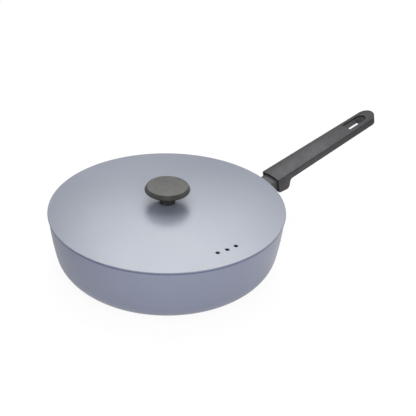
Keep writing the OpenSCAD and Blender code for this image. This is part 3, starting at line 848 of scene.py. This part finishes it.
def prism(name, outline, place, low, high):
    """A solid between two levels over a closed outline.
    place(u, v, w) gives a point from the outline's u, v and the level w."""
    mesh = bpy.data.meshes.new(name)
    size = len(outline)
    points = [place(u, v, w) for w in (low, high) for u, v in outline]
    faces = [tuple(range(size)), tuple(range(size, 2 * size))]
    faces += [(i, (i + 1) % size, size + (i + 1) % size, size + i) for i in range(size)]
    mesh.from_pydata(points, [], faces)
    with opened(mesh) as work:
        bmesh.ops.recalc_face_normals(work, faces=work.faces)
    return new_object(name, mesh)


def carve(piece, *steps):
    """Applies exact booleans to a piece: each step is an operation and its tool,
    and the tools are used up."""
    for operation, tool in steps:
        cut = piece.modifiers.new("Carve", "BOOLEAN")
        cut.operation = operation
        cut.solver = "EXACT"
        cut.object = tool
        keep_result(piece)
        bpy.data.objects.remove(tool)
    return piece


def soften(piece, widths, widest):
    """Rounds a piece's sharp edges. widths(edge centre) gives each edge's radius."""
    flat, sharp = math.radians(0.05), math.radians(28)
    with opened(piece.data) as work:
        bmesh.ops.remove_doubles(work, verts=work.verts, dist=2 * WELD)
        bmesh.ops.dissolve_limit(work, angle_limit=flat, verts=work.verts,
                                 edges=work.edges)
        weight = work.edges.layers.float.new("bevel_weight_edge")
        for edge in work.edges:
            if len(edge.link_faces) == 2 and edge.calc_face_angle(0.0) > sharp:
                middle = (edge.verts[0].co + edge.verts[1].co) / 2
                edge[weight] = min(1.0, widths(middle) / widest)
    bevel = piece.modifiers.new("Edges", "BEVEL")
    bevel.limit_method = "WEIGHT"
    bevel.width = widest
    bevel.segments = 3
    bevel.use_clamp_overlap = True
    keep_result(piece)


def dress(node, material):
    """Gives a CAD node its finish."""
    piece = NODES[node]
    for place in piece.material_slots:
        place.material = material


def paint_all(piece, material):
    """Gives a carved piece one finish."""
    piece.data.materials.clear()
    piece.data.materials.append(material)


def adopt(piece, body, node):
    """A made piece rides on a body and stands for a CAD node."""
    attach(piece, body)
    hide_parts(node)


# ------------------------------------------------------------------- sections

def bow_centre(pan):
    """Centre of the circle that the bowed wall follows."""
    return (pan.rim_r - pan.bow_r * math.cos(pan.rim_lean),
            pan.height + pan.bow_r * math.sin(pan.rim_lean))


def bowl_line(pan, level, corner_r, wall_r, top):
    """The line of the pan's inside or outside: round corner and bowed wall,
    from the flat's edge at a level up to the top."""
    bow_x, bow_z = bow_centre(pan)
    corner_z = level + corner_r
    corner_x = bow_x + math.sqrt((wall_r - corner_r) ** 2 - (corner_z - bow_z) ** 2)
    join = math.degrees(math.atan2(corner_z - bow_z, corner_x - bow_x))
    end = math.degrees(math.asin((top - bow_z) / wall_r))
    return (arc(corner_x, corner_z, corner_r, -90, join, steps=18)
            + arc(bow_x, bow_z, wall_r, join, end, steps=14)[1:])


def flat_steps(start, end, z, steps):
    """Points along a level line."""
    return [(start + (end - start) * i / steps, z) for i in range(steps + 1)]


def pan_section(pan):
    """The pan's section from the base's middle round the wall to the floor's middle."""
    soft, top, inner_r = pan.rim_round, pan.height, 20 * MM
    outside = bowl_line(pan, 0.0, pan.corner_r, pan.bow_r, top - soft)
    inside = bowl_line(pan, pan.floor, pan.floor_corner_r, pan.bow_r - pan.wall,
                       top - soft)
    flat_end = outside[0][0]
    recess = [(0.0, pan.disc_t)] + flat_steps(inner_r, pan.disc_r, pan.disc_t, steps=4)
    base = [(pan.disc_r, 0.0)] + flat_steps(pan.disc_r, flat_end, 0.0, steps=3)[1:]
    rim = (arc(outside[-1][0] - soft, top - soft, soft, 0, 90, steps=5)[1:]
           + arc(inside[-1][0] + soft, top - soft, soft, 90, 180, steps=5))
    floor = flat_steps(inside[0][0], 0.0, pan.floor, steps=8)[1:]
    return recess + base + outside + rim + inside[::-1] + floor


def lid_section(lid):
    """Closed section of the lid: dome, round hem, rest on the rim, underside, bore."""
    hem_x = lid.radius - lid.hem_r
    dome_r = (hem_x ** 2 + lid.rise ** 2) / (2 * lid.rise)
    dome_z = lid.seat_z - math.sqrt(dome_r ** 2 - lid.seat_r ** 2)
    rim_z = dome_z + math.sqrt(dome_r ** 2 - hem_x ** 2) - 2 * lid.hem_r

    def dome(x, depth=0.0):
        """Height of the dome, or of a skin at a depth under it."""
        return dome_z + math.sqrt((dome_r - depth) ** 2 - x * x)

    steps = [x for x, _ in flat_steps(lid.seat_r, hem_x, 0.0, steps=84)]
    top = [(x, dome(x)) for x in steps]
    lean = math.degrees(math.asin(hem_x / dome_r))
    hem = arc(hem_x, rim_z + lid.hem_r, lid.hem_r, 90 - lean, -90, steps=14)
    under_z = lid.seat_z - lid.sheet
    inner = [x for x in steps[::-1] if x < lid.rest_r - NEAR]
    under = [(lid.rest_r, rim_z), (lid.rest_r, dome(lid.rest_r, lid.sheet))]
    under += [(x, dome(x, lid.sheet)) for x in inner] + [(lid.bore_r, under_z)]
    return [(lid.bore_r, lid.seat_z)] + top + hem + under


def knob_section(knob, seat_z):
    """Closed section of the knob, round its brass bush."""
    face = seat_z + knob.height - knob.crown
    under = face - knob.edge_h
    sphere = (knob.top_r ** 2 + knob.crown ** 2) / (2 * knob.crown)
    low_x, low_z = knob.radius - knob.low_r, under + knob.low_r
    top_x, top_z = knob.top_r - knob.top_edge_r, face - knob.top_edge_r
    side = math.degrees(
        math.atan2(low_x - top_x, top_z - low_z)
        + math.asin((knob.low_r - knob.top_edge_r)
                    / math.hypot(low_x - top_x, top_z - low_z)))
    crown_z = seat_z + knob.height - sphere
    top = [(x, crown_z + math.sqrt(sphere ** 2 - x * x))
           for x, _ in flat_steps(0.0, top_x, 0.0, steps=12)]
    soft, crown_end = knob.foot_soft, 88
    return (top
            + arc(top_x, top_z, knob.top_edge_r, crown_end, side, steps=8)
            + arc(low_x, low_z, knob.low_r, side, -90, steps=14)
            + arc(knob.stem_r + knob.fillet, under - knob.fillet, knob.fillet,
                  90, 180, steps=10)
            + [(knob.stem_r, seat_z + soft), (knob.stem_r - soft, seat_z),
               (knob.bush_r, seat_z), (knob.bush_r, seat_z + knob.bush_l),
               (0.0, seat_z + knob.bush_l)])


# --------------------------------------------------------------- handle tools

def handle_front(handle):
    """Start of the handle's own frame: between the top edges of the grip's front."""
    rim_r = bpy.context.scene.saute_pan.pan.rim_r
    return (rim_r + handle.neck_l, 0.0, handle.edge_z)


def on_handle(piece, handle):
    """Moves a piece from the handle's own frame to its place on the pan."""
    piece.data.transform(Matrix.Translation(handle_front(handle))
                         @ Matrix.Rotation(-handle.rise, 4, "Y"))


def crown_outline(handle, depth, low, half_w, breaks):
    """Section across the handle: arched top at a depth, sides and a flat underside."""
    radius = ((handle.grip_w / 2) ** 2 + handle.crown ** 2) / (2 * handle.crown)
    centre = handle.crown - radius
    ys = sorted({*breaks, *(-y for y in breaks), -half_w, half_w})
    top = [(y, centre + math.sqrt((radius - depth) ** 2 - y * y))
           for y in ys if abs(y) <= half_w]
    return top + [(half_w, low), (-half_w, low)]


def side_outline(handle):
    """Side view of the grip: a straight bar with the finger guard, open past its top
    and its end."""
    over, past = 20 * MM, handle.grip_l + 10 * MM
    drop, lean = handle.guard_drop, handle.guard_lean
    heel_x, heel_r, hollow_r = handle.heel_x, handle.heel_r, handle.hollow_r
    tan_x = heel_x - heel_r * math.sin(drop)
    tan_z = -handle.guard_h - tan_x * math.tan(drop)
    heel_z = tan_z + heel_r * math.cos(drop)
    rear_x = heel_x + heel_r * math.cos(lean)
    rear_z = heel_z - heel_r * math.sin(lean)
    hollow_z = -handle.bar_h - hollow_r
    top_z = hollow_z + hollow_r * math.sin(lean)
    top_x = rear_x + (top_z - rear_z) * math.tan(lean)
    hollow_x = top_x + hollow_r * math.cos(lean)
    heel = arc(heel_x, heel_z, heel_r, -90 - math.degrees(drop),
               -math.degrees(lean), steps=16)
    hollow = arc(hollow_x, hollow_z, hollow_r, 180 - math.degrees(lean), 90, steps=12)
    return thinned([(0.0, over), (0.0, -handle.guard_h)] + heel + hollow
                   + [(past, -handle.bar_h), (past, over)])


def grip_outline(handle):
    """The grip from above: tapered sides and the round end, open past the front."""
    tip_x = handle.grip_l - handle.tip_r
    half, before = handle.grip_w / 2, 5 * MM
    slope = (half - handle.tip_r) / tip_x
    front = half + before * slope
    return ([(-before, -front)] + arc(tip_x, 0.0, handle.tip_r, -90, 90, steps=56)
            + [(-before, front)])


def slot_span(handle):
    """Where the hanging slot starts and ends, and half its width."""
    end = handle.grip_l - handle.slot_end_w
    return end - handle.slot_l, end, handle.slot_w / 2


def slot_outline(handle, wider=0.0):
    """The hanging slot from above: square towards the pan, round outwards."""
    start, end, half = slot_span(handle)
    centre, half, start = end - half, half + wider, start - wider
    return ([(start, -half)] + arc(centre, 0.0, half, -90, 90, steps=40)
            + [(start, half)])


def slot_side(handle):
    """The slot from the side: a ramp closes the lower part of its round end."""
    start, end, _ = slot_span(handle)
    far, near = end + handle.slot_end_w, start - handle.slot_end_w
    under, over = -30 * MM, 10 * MM
    foot, floor = end - handle.ramp_l, handle.groove_z - handle.groove_h
    return [(near, under), (foot, under), (foot, -handle.bar_h),
            (end - handle.ramp_top, floor), (far, floor), (far, over), (near, over)]


def ring_outline(centre_x, radius):
    """A round hole from above."""
    steps = 40
    return arc(centre_x, 0.0, radius, 0, 360 - 360 / steps, steps - 1)


def level(u, v, w):
    """Lays an outline flat, for a prism that rises."""
    return (u, v, w)


def across(u, v, w):
    """Stands an outline across the handle, for a prism along it."""
    return (w, u, v)


def sideways(u, v, w):
    """Stands an outline along the handle, for a prism across it."""
    return (u, w, v)


# ------------------------------------------------------------------ operators

class SAUTEPAN_OT_body(bpy.types.Operator):
    """Turn the pan's body from its section, with soft rim edges"""
    bl_idname = "saute_pan.body"
    bl_label = "Build Pan Body"

    def execute(self, context):
        looks = context.scene.saute_pan
        pan, finish = looks.pan, looks.finish
        enamel = enamel_finish(
            "Pan shaded enamel", finish.pan_shaded_enamel, finish.rim_shade_tint, finish.pan_ior,
            pan.rim_r - pan.shade_band_w, pan.height - pan.shade_band_h, pan.shade_band_fade)
        piece = section_object("pan_shell", pan_section(pan))
        run_tree(piece, lathe_tree("Turned piece"), Segments=pan.segments,
                 Material=enamel)
        tidy_solid(piece)
        piece.data.materials.append(coating_finish(
            "Non-stick coating", finish.coating, finish.coating_fleck))
        piece.data.materials.append(ringed_metal(
            "Turned aluminium", finish.turned, dark=0.86, rough=(0.24, 0.40),
            rings=1400.0, bands=240.0, strength=0.5, depth=0.05 * MM,
            band_mask=(0.35, 0.65), brushed=0.5))
        enamelled, coated, turned = range(3)
        hair, rim_z = 0.01 * MM, pan.height - 0.7 * pan.rim_round
        steep, flat, down = -0.5, 0.9, -0.98
        bow_x, bow_z = bow_centre(pan)
        for face in piece.data.polygons:
            spot, way = face.center, face.normal
            out = math.hypot(spot.x, spot.y)
            middle = math.hypot(out - bow_x, spot.z - bow_z) < pan.bow_r - pan.wall / 2
            inward = way.x * spot.x + way.y * spot.y < 0 or way.z > flat
            under = spot.z < pan.disc_t + hair and way.z < down
            if spot.z > rim_z or under:
                face.material_index = turned
            elif inward and middle and spot.z > pan.floor - hair and way.z > steep:
                face.material_index = coated
            else:
                face.material_index = enamelled
        adopt(piece, "pan", "pan_body")
        return {"FINISHED"}


class SAUTEPAN_OT_base(bpy.types.Operator):
    """Finish the steel disc and set the base's plugs in its holes"""
    bl_idname = "saute_pan.base"
    bl_label = "Build Base"

    def execute(self, context):
        looks = context.scene.saute_pan
        pan = looks.pan
        steel = ringed_metal(
            "Brushed steel", looks.finish.steel, dark=0.82, rough=(0.28, 0.44),
            rings=2600.0, bands=120.0, strength=0.4, depth=0.04 * MM)
        dress("base_disc", steel)
        # The tree replaces this line by the plugs
        plugs = section_object("base_plugs", [(0.0, 0.0), (0.01, 0.0)])
        height = pan.disc_t - pan.plug_low
        run_tree(plugs, plugs_tree("Base plugs", pan.disc_rings), Holes=pan.ring_holes,
                 Ring_Step=(pan.disc_r - pan.disc_edge_w) / pan.disc_rings,
                 Plug_Radius=pan.plug_r, Plug_Height=height,
                 Plug_Centre=pan.plug_low + height / 2,
                 Material=bpy.data.materials["Turned aluminium"])
        tidy_solid(plugs)
        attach(plugs, "pan")
        return {"FINISHED"}


class SAUTEPAN_OT_lid(bpy.types.Operator):
    """Turn the lid, cut its steam holes and finish the ring under it"""
    bl_idname = "saute_pan.lid"
    bl_label = "Build Lid"

    def execute(self, context):
        looks = context.scene.saute_pan
        lid, finish = looks.lid, looks.finish
        enamel = enamel_finish(
            "Lid enamel", finish.lid_enamel, finish.rim_shade_tint, finish.lid_ior,
            lid.radius - lid.shade_band_w, looks.pan.height + lid.shade_band_h, -lid.shade_band_fade)
        section = lid_section(lid)
        piece = section_object("lid_dome", section, closed=True)
        ring_r = lid.radius - lid.vent_inset
        height = min(section, key=lambda point: abs(point[0] - ring_r) - point[1])[1]
        run_tree(piece, lid_tree("Lid with steam holes"), Segments=lid.segments,
                 Holes=lid.vent_count, Hole_Radius=lid.vent_r, Hole_Edge=lid.vent_soft,
                 Ring_Radius=ring_r, Turn=lid.vent_turn, Height=height,
                 Hole_Angle=2 * math.asin(lid.vent_pitch / 2 / ring_r), Material=enamel)
        tidy_solid(piece)
        adopt(piece, "lid", "lid_panel")
        dress("lid_ring", enamel)
        return {"FINISHED"}


class SAUTEPAN_OT_knob(bpy.types.Operator):
    """Turn the knob from its section"""
    bl_idname = "saute_pan.knob"
    bl_label = "Build Knob"

    def execute(self, context):
        looks = context.scene.saute_pan
        plastic = moulded_finish(
            "Knob moulding", looks.finish.knob, looks.finish.knob_shade,
            rough=(0.42, 0.52), ior=1.58, grain=1100.0, depth=0.09 * MM)
        piece = section_object("knob_cap", knob_section(looks.knob, looks.lid.seat_z))
        run_tree(piece, bpy.data.node_groups["Turned piece"],
                 Segments=looks.knob.segments, Material=plastic)
        tidy_solid(piece)
        adopt(piece, "lid", "knob")
        return {"FINISHED"}


class SAUTEPAN_OT_grip(bpy.types.Operator):
    """Carve the moulded grip, with its finger guard, open front and hanging slot"""
    bl_idname = "saute_pan.grip"
    bl_label = "Build Grip"

    def execute(self, context):
        looks = context.scene.saute_pan
        handle = looks.handle
        low = -2 * handle.guard_h
        # Tools end well outside the grip, or by an overlap in open space
        side, wide, overlap = 20 * MM, 16.5 * MM, 1 * MM
        slot = prism("Slot", slot_outline(handle), level, -30 * MM, 10 * MM)
        carve(slot, ("INTERSECT", prism("Slot side", slot_side(handle), sideways,
                                        -side, side)))
        breaks = [y * MM for y in (0.0, 2.4, 4.7, 6.6, 9.4, 11.6)]
        piece = prism("grip_moulding", side_outline(handle), sideways, -side, side)
        mouth_w = handle.grip_w / 2 - handle.mouth_wall
        mouth_low = -handle.guard_h + handle.mouth_wall
        tongue = handle.tongue_w / 2
        socket = [(-overlap, -tongue), (handle.tongue_l, -tongue),
                  (handle.tongue_l, tongue), (-overlap, tongue)]
        carve(
            piece,
            ("INTERSECT", prism("Plan", grip_outline(handle), level,
                                -60 * MM, 30 * MM)),
            ("INTERSECT", prism("Crown", crown_outline(handle, 0.0, low, wide, breaks),
                                across, -10 * MM, handle.grip_l + 20 * MM)),
            ("DIFFERENCE", prism("Mouth", crown_outline(
                handle, handle.mouth_wall, mouth_low, mouth_w, breaks),
                across, -overlap, handle.mouth_depth)),
            ("DIFFERENCE", prism("Socket", socket, level, -handle.tongue_z,
                                 handle.tongue_h - handle.tongue_z)),
            ("DIFFERENCE", prism("Bore", ring_outline(handle.screw_x, handle.bore_r),
                                 level, -handle.counter_z - overlap,
                                 -handle.tongue_z + overlap)),
            ("DIFFERENCE", prism("Counterbore", ring_outline(
                handle.screw_x, handle.counter_r), level, low, -handle.counter_z)),
            ("DIFFERENCE", slot),
            ("DIFFERENCE", prism("Groove", slot_outline(handle, handle.groove), level,
                                 handle.groove_z - handle.groove_h, handle.groove_z)),
        )
        slot_from, slot_to, half_slot = slot_span(handle)
        reach = handle.groove + NEAR
        bore_soft, finer, top_low = 0.15 * MM, 0.6, -1.5 * MM

        def widths(spot):
            """Radius of the edge there: none in the groove and in the socket."""
            off = abs(spot.y)
            if slot_from - reach < spot.x < slot_to + reach and off < half_slot + reach:
                if spot.z < -handle.bar_h + NEAR:
                    return handle.slot_low_soft
                grooved = spot.z < handle.groove_z + NEAR
                return 0.0 if grooved else finer * handle.top_soft
            if math.hypot(spot.x - handle.screw_x, off) < handle.counter_r + NEAR:
                return bore_soft
            if spot.x < handle.mouth_depth + NEAR and off < mouth_w + NEAR \
                    and spot.z > mouth_low - NEAR:
                return handle.mouth_soft * (finer if spot.x > NEAR else 1.0)
            if spot.x < handle.tongue_l + overlap and off < tongue + NEAR:
                return 0.0
            if spot.z > top_low:
                return handle.top_soft
            return handle.mouth_soft if spot.x < NEAR else handle.low_soft

        soften(piece, widths, handle.low_soft)
        tidy_solid(piece)
        on_handle(piece, handle)
        paint_all(piece, moulded_finish(
            "Grip moulding", looks.finish.grip, looks.finish.grip_shade,
            rough=(0.58, 0.66), ior=1.53, grain=1500.0, depth=0.09 * MM, handle=handle))
        adopt(piece, "pan", "handle_grip")
        return {"FINISHED"}


class SAUTEPAN_OT_guard(bpy.types.Operator):
    """Carve the hollow flame guard and fit it to the pan's wall"""
    bl_idname = "saute_pan.guard"
    bl_label = "Build Flame Guard"

    def execute(self, context):
        looks = context.scene.saute_pan
        handle, pan, colour = looks.handle, looks.pan, looks.finish.guard
        breaks = [y * MM for y in (0.0, 2.2, 4.4, 6.6)]
        wide, over, overlap = 15 * MM, 10 * MM, 1 * MM
        root_x = -handle.neck_l - handle.root_overlap

        def outline(inset, past):
            """The guard from above: tapered up to the grip, straight inside it."""
            half = handle.sleeve_w / 2 - inset
            root = half - (handle.mouth_depth - root_x) * math.tan(handle.sleeve_taper)
            end = handle.mouth_depth + past
            return [(root_x - past, -root), (handle.mouth_depth, -half), (end, -half),
                    (end, half), (handle.mouth_depth, half), (root_x - past, root)]

        def block(name, inset, past):
            """The guard's solid, or its hollow by an inset, open past both ends."""
            low = handle.crown - handle.sleeve_drop - handle.sleeve_h + inset
            shape = prism(name, thinned(outline(inset, past)), level, -50 * MM, 20 * MM)
            tool = prism(name + " crown", crown_outline(
                handle, handle.sleeve_drop + inset, low, wide, breaks),
                across, root_x - over, handle.mouth_depth + over)
            return carve(shape, ("INTERSECT", tool))

        piece = block("guard_sleeve", 0.0, 0.0)
        carve(piece, ("DIFFERENCE", block("Hollow", handle.sleeve_t, overlap)))
        skin, finer = 0.4 * MM, 0.4

        def widths(spot):
            """Radius of the edge there, smaller inside the hollow."""
            half = handle.sleeve_w / 2 - (
                handle.mouth_depth - spot.x) * math.tan(handle.sleeve_taper)
            outer = abs(spot.y) > half - skin
            return handle.sleeve_soft * (1.0 if outer else finer)

        soften(piece, widths, handle.sleeve_soft)
        on_handle(piece, handle)
        # A little under the pan's skin, so that no light shows between the two
        wall = bowl_line(pan, 0.0, pan.corner_r, pan.bow_r, pan.height)
        inset, top, steps = 0.15 * MM, pan.height + over, 360
        section = ([(0.0, 0.0)] + [(x - inset, z) for x, z in wall]
                   + [(wall[-1][0] - inset, top), (0.0, top)])
        cutter = section_object("Pan outside", section)
        run_tree(cutter, bpy.data.node_groups["Turned piece"], Segments=steps,
                 Material=None)
        tidy_solid(cutter)
        carve(piece, ("DIFFERENCE", cutter))
        tidy_solid(piece)
        paint_all(piece, moulded_finish(
            "Guard paint", colour, scaled(colour, 0.95),
            rough=(0.50, 0.58), ior=1.45, grain=2600.0, depth=0.04 * MM))
        adopt(piece, "pan", "flame_guard")
        return {"FINISHED"}


class SAUTEPAN_OT_fastenings(bpy.types.Operator):
    """Finish the bracket, the screws, the washers and the brass bush"""
    bl_idname = "saute_pan.fastenings"
    bl_label = "Finish Fastenings"

    def execute(self, context):
        looks = context.scene.saute_pan
        colours, rise = looks.finish, looks.handle.rise
        dress("handle_bracket", cast_finish("Cast aluminium", colours.cast))
        for node, turn in (("handle_screw", -rise), ("lock_washer", -rise),
                           ("knob_washer", 0.0), ("knob_screw", 0.0)):
            dress(node, fastening_metal("Zinc " + node, colours.zinc, node, turn))
        dress("knob_insert", fastening_metal("Brass bush", colours.brass, "knob_insert",
                                             rough=(0.24, 0.4)))
        return {"FINISHED"}


class SAUTEPAN_OT_stage(bpy.types.Operator):
    """Set the camera, the pale floor and the soft studio light"""
    bl_idname = "saute_pan.stage"
    bl_label = "Set Stage"

    def execute(self, context):
        stage = context.scene.saute_pan.stage
        self.camera(context, stage)
        self.floor(stage)
        self.world(context, stage)
        self.light(context, "Key", stage.turn + stage.key_turn, stage.key_rise,
                   stage.key_distance, (stage.key_width, stage.key_height), stage.key)
        fill = self.light(context, "Fill", stage.turn + math.pi - stage.fill_turn,
                          stage.fill_rise, stage.fill_distance,
                          (stage.fill_size, stage.fill_size), stage.fill)
        # It stands for light from the whole room, so no reflection shows its square
        fill.visible_glossy = False
        context.scene.view_settings.view_transform = "Standard"
        return {"FINISHED"}

    def camera(self, context, stage):
        """Places the camera beside the handle, above level, with a slight roll."""
        data = bpy.data.cameras.new("Camera")
        camera = new_object("Camera", data)
        data.sensor_width = 36.0
        data.lens = stage.focal
        data.clip_start, data.clip_end = 0.05, 50.0
        tilt, roll = stage.pitch, stage.roll
        yaw = Matrix.Rotation(stage.yaw, 3, "Z")
        right = yaw @ Vector((1.0, 0.0, 0.0))
        up = yaw @ Vector((0.0, math.sin(tilt), math.cos(tilt)))
        back = yaw @ Vector((0.0, -math.cos(tilt), math.sin(tilt)))
        across_x = right * math.cos(roll) - up * math.sin(roll)
        across_y = right * math.sin(roll) + up * math.cos(roll)
        turned = Matrix.Rotation(-stage.turn, 3, "Z")
        axes = Matrix([turned @ way for way in (across_x, across_y, back)]).transposed()
        off = stage.distance * math.cos(stage.elevation)
        place = Vector((-off * math.sin(stage.turn), -off * math.cos(stage.turn),
                        stage.aim_z + stage.distance * math.sin(stage.elevation)))
        camera.matrix_world = Matrix.Translation(place) @ axes.to_4x4()
        context.scene.camera = camera

    def mixed(self, tree, mask, first, second, end):
        """Ends a tree in the first shader, and in the second where the mask says."""
        mix = tree.nodes.new("ShaderNodeMixShader")
        sources = (mask, first.outputs[0], second.outputs[0])
        for socket, source in zip(mix.inputs, sources):
            feed(tree, socket, source)
        feed(tree, tree.nodes.new(end).inputs[0], mix.outputs[0])

    def mirrored(self, tree, path):
        """Mask of the rays that a reflection or a clear piece sends on."""
        return maths(tree, "MAXIMUM", path["Is Glossy Ray"],
                     path["Is Transmission Ray"])

    def floor(self, stage):
        """A pale floor that keeps the shadow, whiter to the eye and to reflections."""
        half = 8.0
        corners = ((-half, -half), (half, -half), (half, half), (-half, half))
        mesh = bpy.data.meshes.new("Floor")
        mesh.from_pydata([(x, y, 0.0) for x, y in corners], [], [(0, 1, 2, 3)])
        floor = new_object("Floor", mesh)
        material = bpy.data.materials.new("Pale floor")
        material.use_nodes = True
        tree = material.node_tree
        tree.nodes.clear()
        base = add_node(tree, "ShaderNodeBsdfDiffuse", Color=(*stage.floor, 1.0))
        path = tree.nodes.new("ShaderNodeLightPath").outputs
        # The studio is dimmer on the left, so reflections see a greyer floor there
        right = (math.cos(stage.turn), -math.sin(stage.turn), 0.0)
        spot = tree.nodes.new("ShaderNodeTexCoord").outputs["Object"]
        grey = remap(tree, along_way(tree, spot, right), -stage.shade_from,
                     -stage.shade_to, stage.shade)
        glow = add_node(tree, "ShaderNodeEmission", Strength=maths(
            tree, "MAXIMUM", grey, path["Is Camera Ray"]))
        seen = maths(tree, "MAXIMUM",
                     maths(tree, "MULTIPLY", path["Is Camera Ray"], stage.floor_glow),
                     maths(tree, "MULTIPLY", self.mirrored(tree, path),
                           stage.floor_sheen))
        self.mixed(tree, seen, base, glow, "ShaderNodeOutputMaterial")
        mesh.materials.append(material)

    def world(self, context, stage):
        """A white room for eye and reflections, and light from above on the pan."""
        world = bpy.data.worlds.new("Studio")
        context.scene.world = world
        world.use_nodes = True
        tree = world.node_tree
        tree.nodes.clear()
        white = (1.0, 1.0, 1.0, 1.0)
        # Heights of the sky's steps, as the Z of the direction to them
        low_sky, high_sky, horizon, studio_z = 0.35, 0.95, 0.03, 0.25
        path = tree.nodes.new("ShaderNodeLightPath").outputs
        way = tree.nodes.new("ShaderNodeTexCoord").outputs["Generated"]
        height = split_up(tree, way)[2]
        ambient = add_node(tree, "ShaderNodeBackground", Color=white, Strength=remap(
            tree, height, low_sky, high_sky, stage.ambient, stage.overhead))
        # Reflections see a white horizon and a dimmer studio above it
        studio = remap(tree, height, horizon, studio_z, 1.0, stage.studio)
        room = add_node(tree, "ShaderNodeBackground", Color=white, Strength=maths(
            tree, "MAXIMUM", studio, path["Is Camera Ray"]))
        seen = maths(tree, "MAXIMUM", path["Is Camera Ray"], self.mirrored(tree, path))
        self.mixed(tree, seen, ambient, room, "ShaderNodeOutputWorld")

    def light(self, context, name, turn, rise, distance, size, power):
        """A rectangular lamp that faces the middle of the pan."""
        away = Vector((math.sin(turn) * math.cos(rise), math.cos(turn) * math.cos(rise),
                       math.sin(rise)))
        aim = Vector((0.0, 0.0, context.scene.saute_pan.stage.aim_z))
        data = bpy.data.lights.new(name, "AREA")
        data.shape = "RECTANGLE"
        data.size, data.size_y = size
        data.energy = power
        lamp = new_object(name, data)
        facing = (-away).to_track_quat("-Z", "Y").to_matrix().to_4x4()
        lamp.matrix_world = Matrix.Translation(aim + away * distance) @ facing
        return lamp


class SAUTEPAN_PT_panel(bpy.types.Panel):
    """Lists the building steps and the sizes and colours that they read"""
    bl_idname = "SAUTEPAN_PT_panel"
    bl_label = "Saute Pan"
    bl_space_type = "VIEW_3D"
    bl_region_type = "UI"
    bl_category = "Saute Pan"

    def draw(self, context):
        looks = context.scene.saute_pan
        for step in STEPS:
            self.layout.operator(step.bl_idname)
        for group in (looks.pan, looks.lid, looks.knob, looks.handle,
                      looks.finish, looks.stage):
            box = self.layout.box()
            for label in group.__annotations__:
                box.prop(group, label)


STEPS = (SAUTEPAN_OT_body, SAUTEPAN_OT_base, SAUTEPAN_OT_lid, SAUTEPAN_OT_knob,
         SAUTEPAN_OT_grip, SAUTEPAN_OT_guard, SAUTEPAN_OT_fastenings, SAUTEPAN_OT_stage)
CLASSES = (PanSizes, LidSizes, KnobSizes, HandleSizes, Finishes, StageSettings,
           PanLooks, *STEPS, SAUTEPAN_PT_panel)


def register():
    """Adds the settings, the building steps and the panel."""
    for item in CLASSES:
        bpy.utils.register_class(item)
    bpy.types.Scene.saute_pan = bpy.props.PointerProperty(type=PanLooks)


def unregister():
    """Takes them away again."""
    del bpy.types.Scene.saute_pan
    for item in reversed(CLASSES):
        bpy.utils.unregister_class(item)


def main():
    """Builds every piece and the stage."""
    register()
    bpy.ops.saute_pan.body()
    bpy.ops.saute_pan.base()
    bpy.ops.saute_pan.lid()
    bpy.ops.saute_pan.knob()
    bpy.ops.saute_pan.grip()
    bpy.ops.saute_pan.guard()
    bpy.ops.saute_pan.fastenings()
    bpy.ops.saute_pan.stage()


if __name__ == "__main__":
    main()
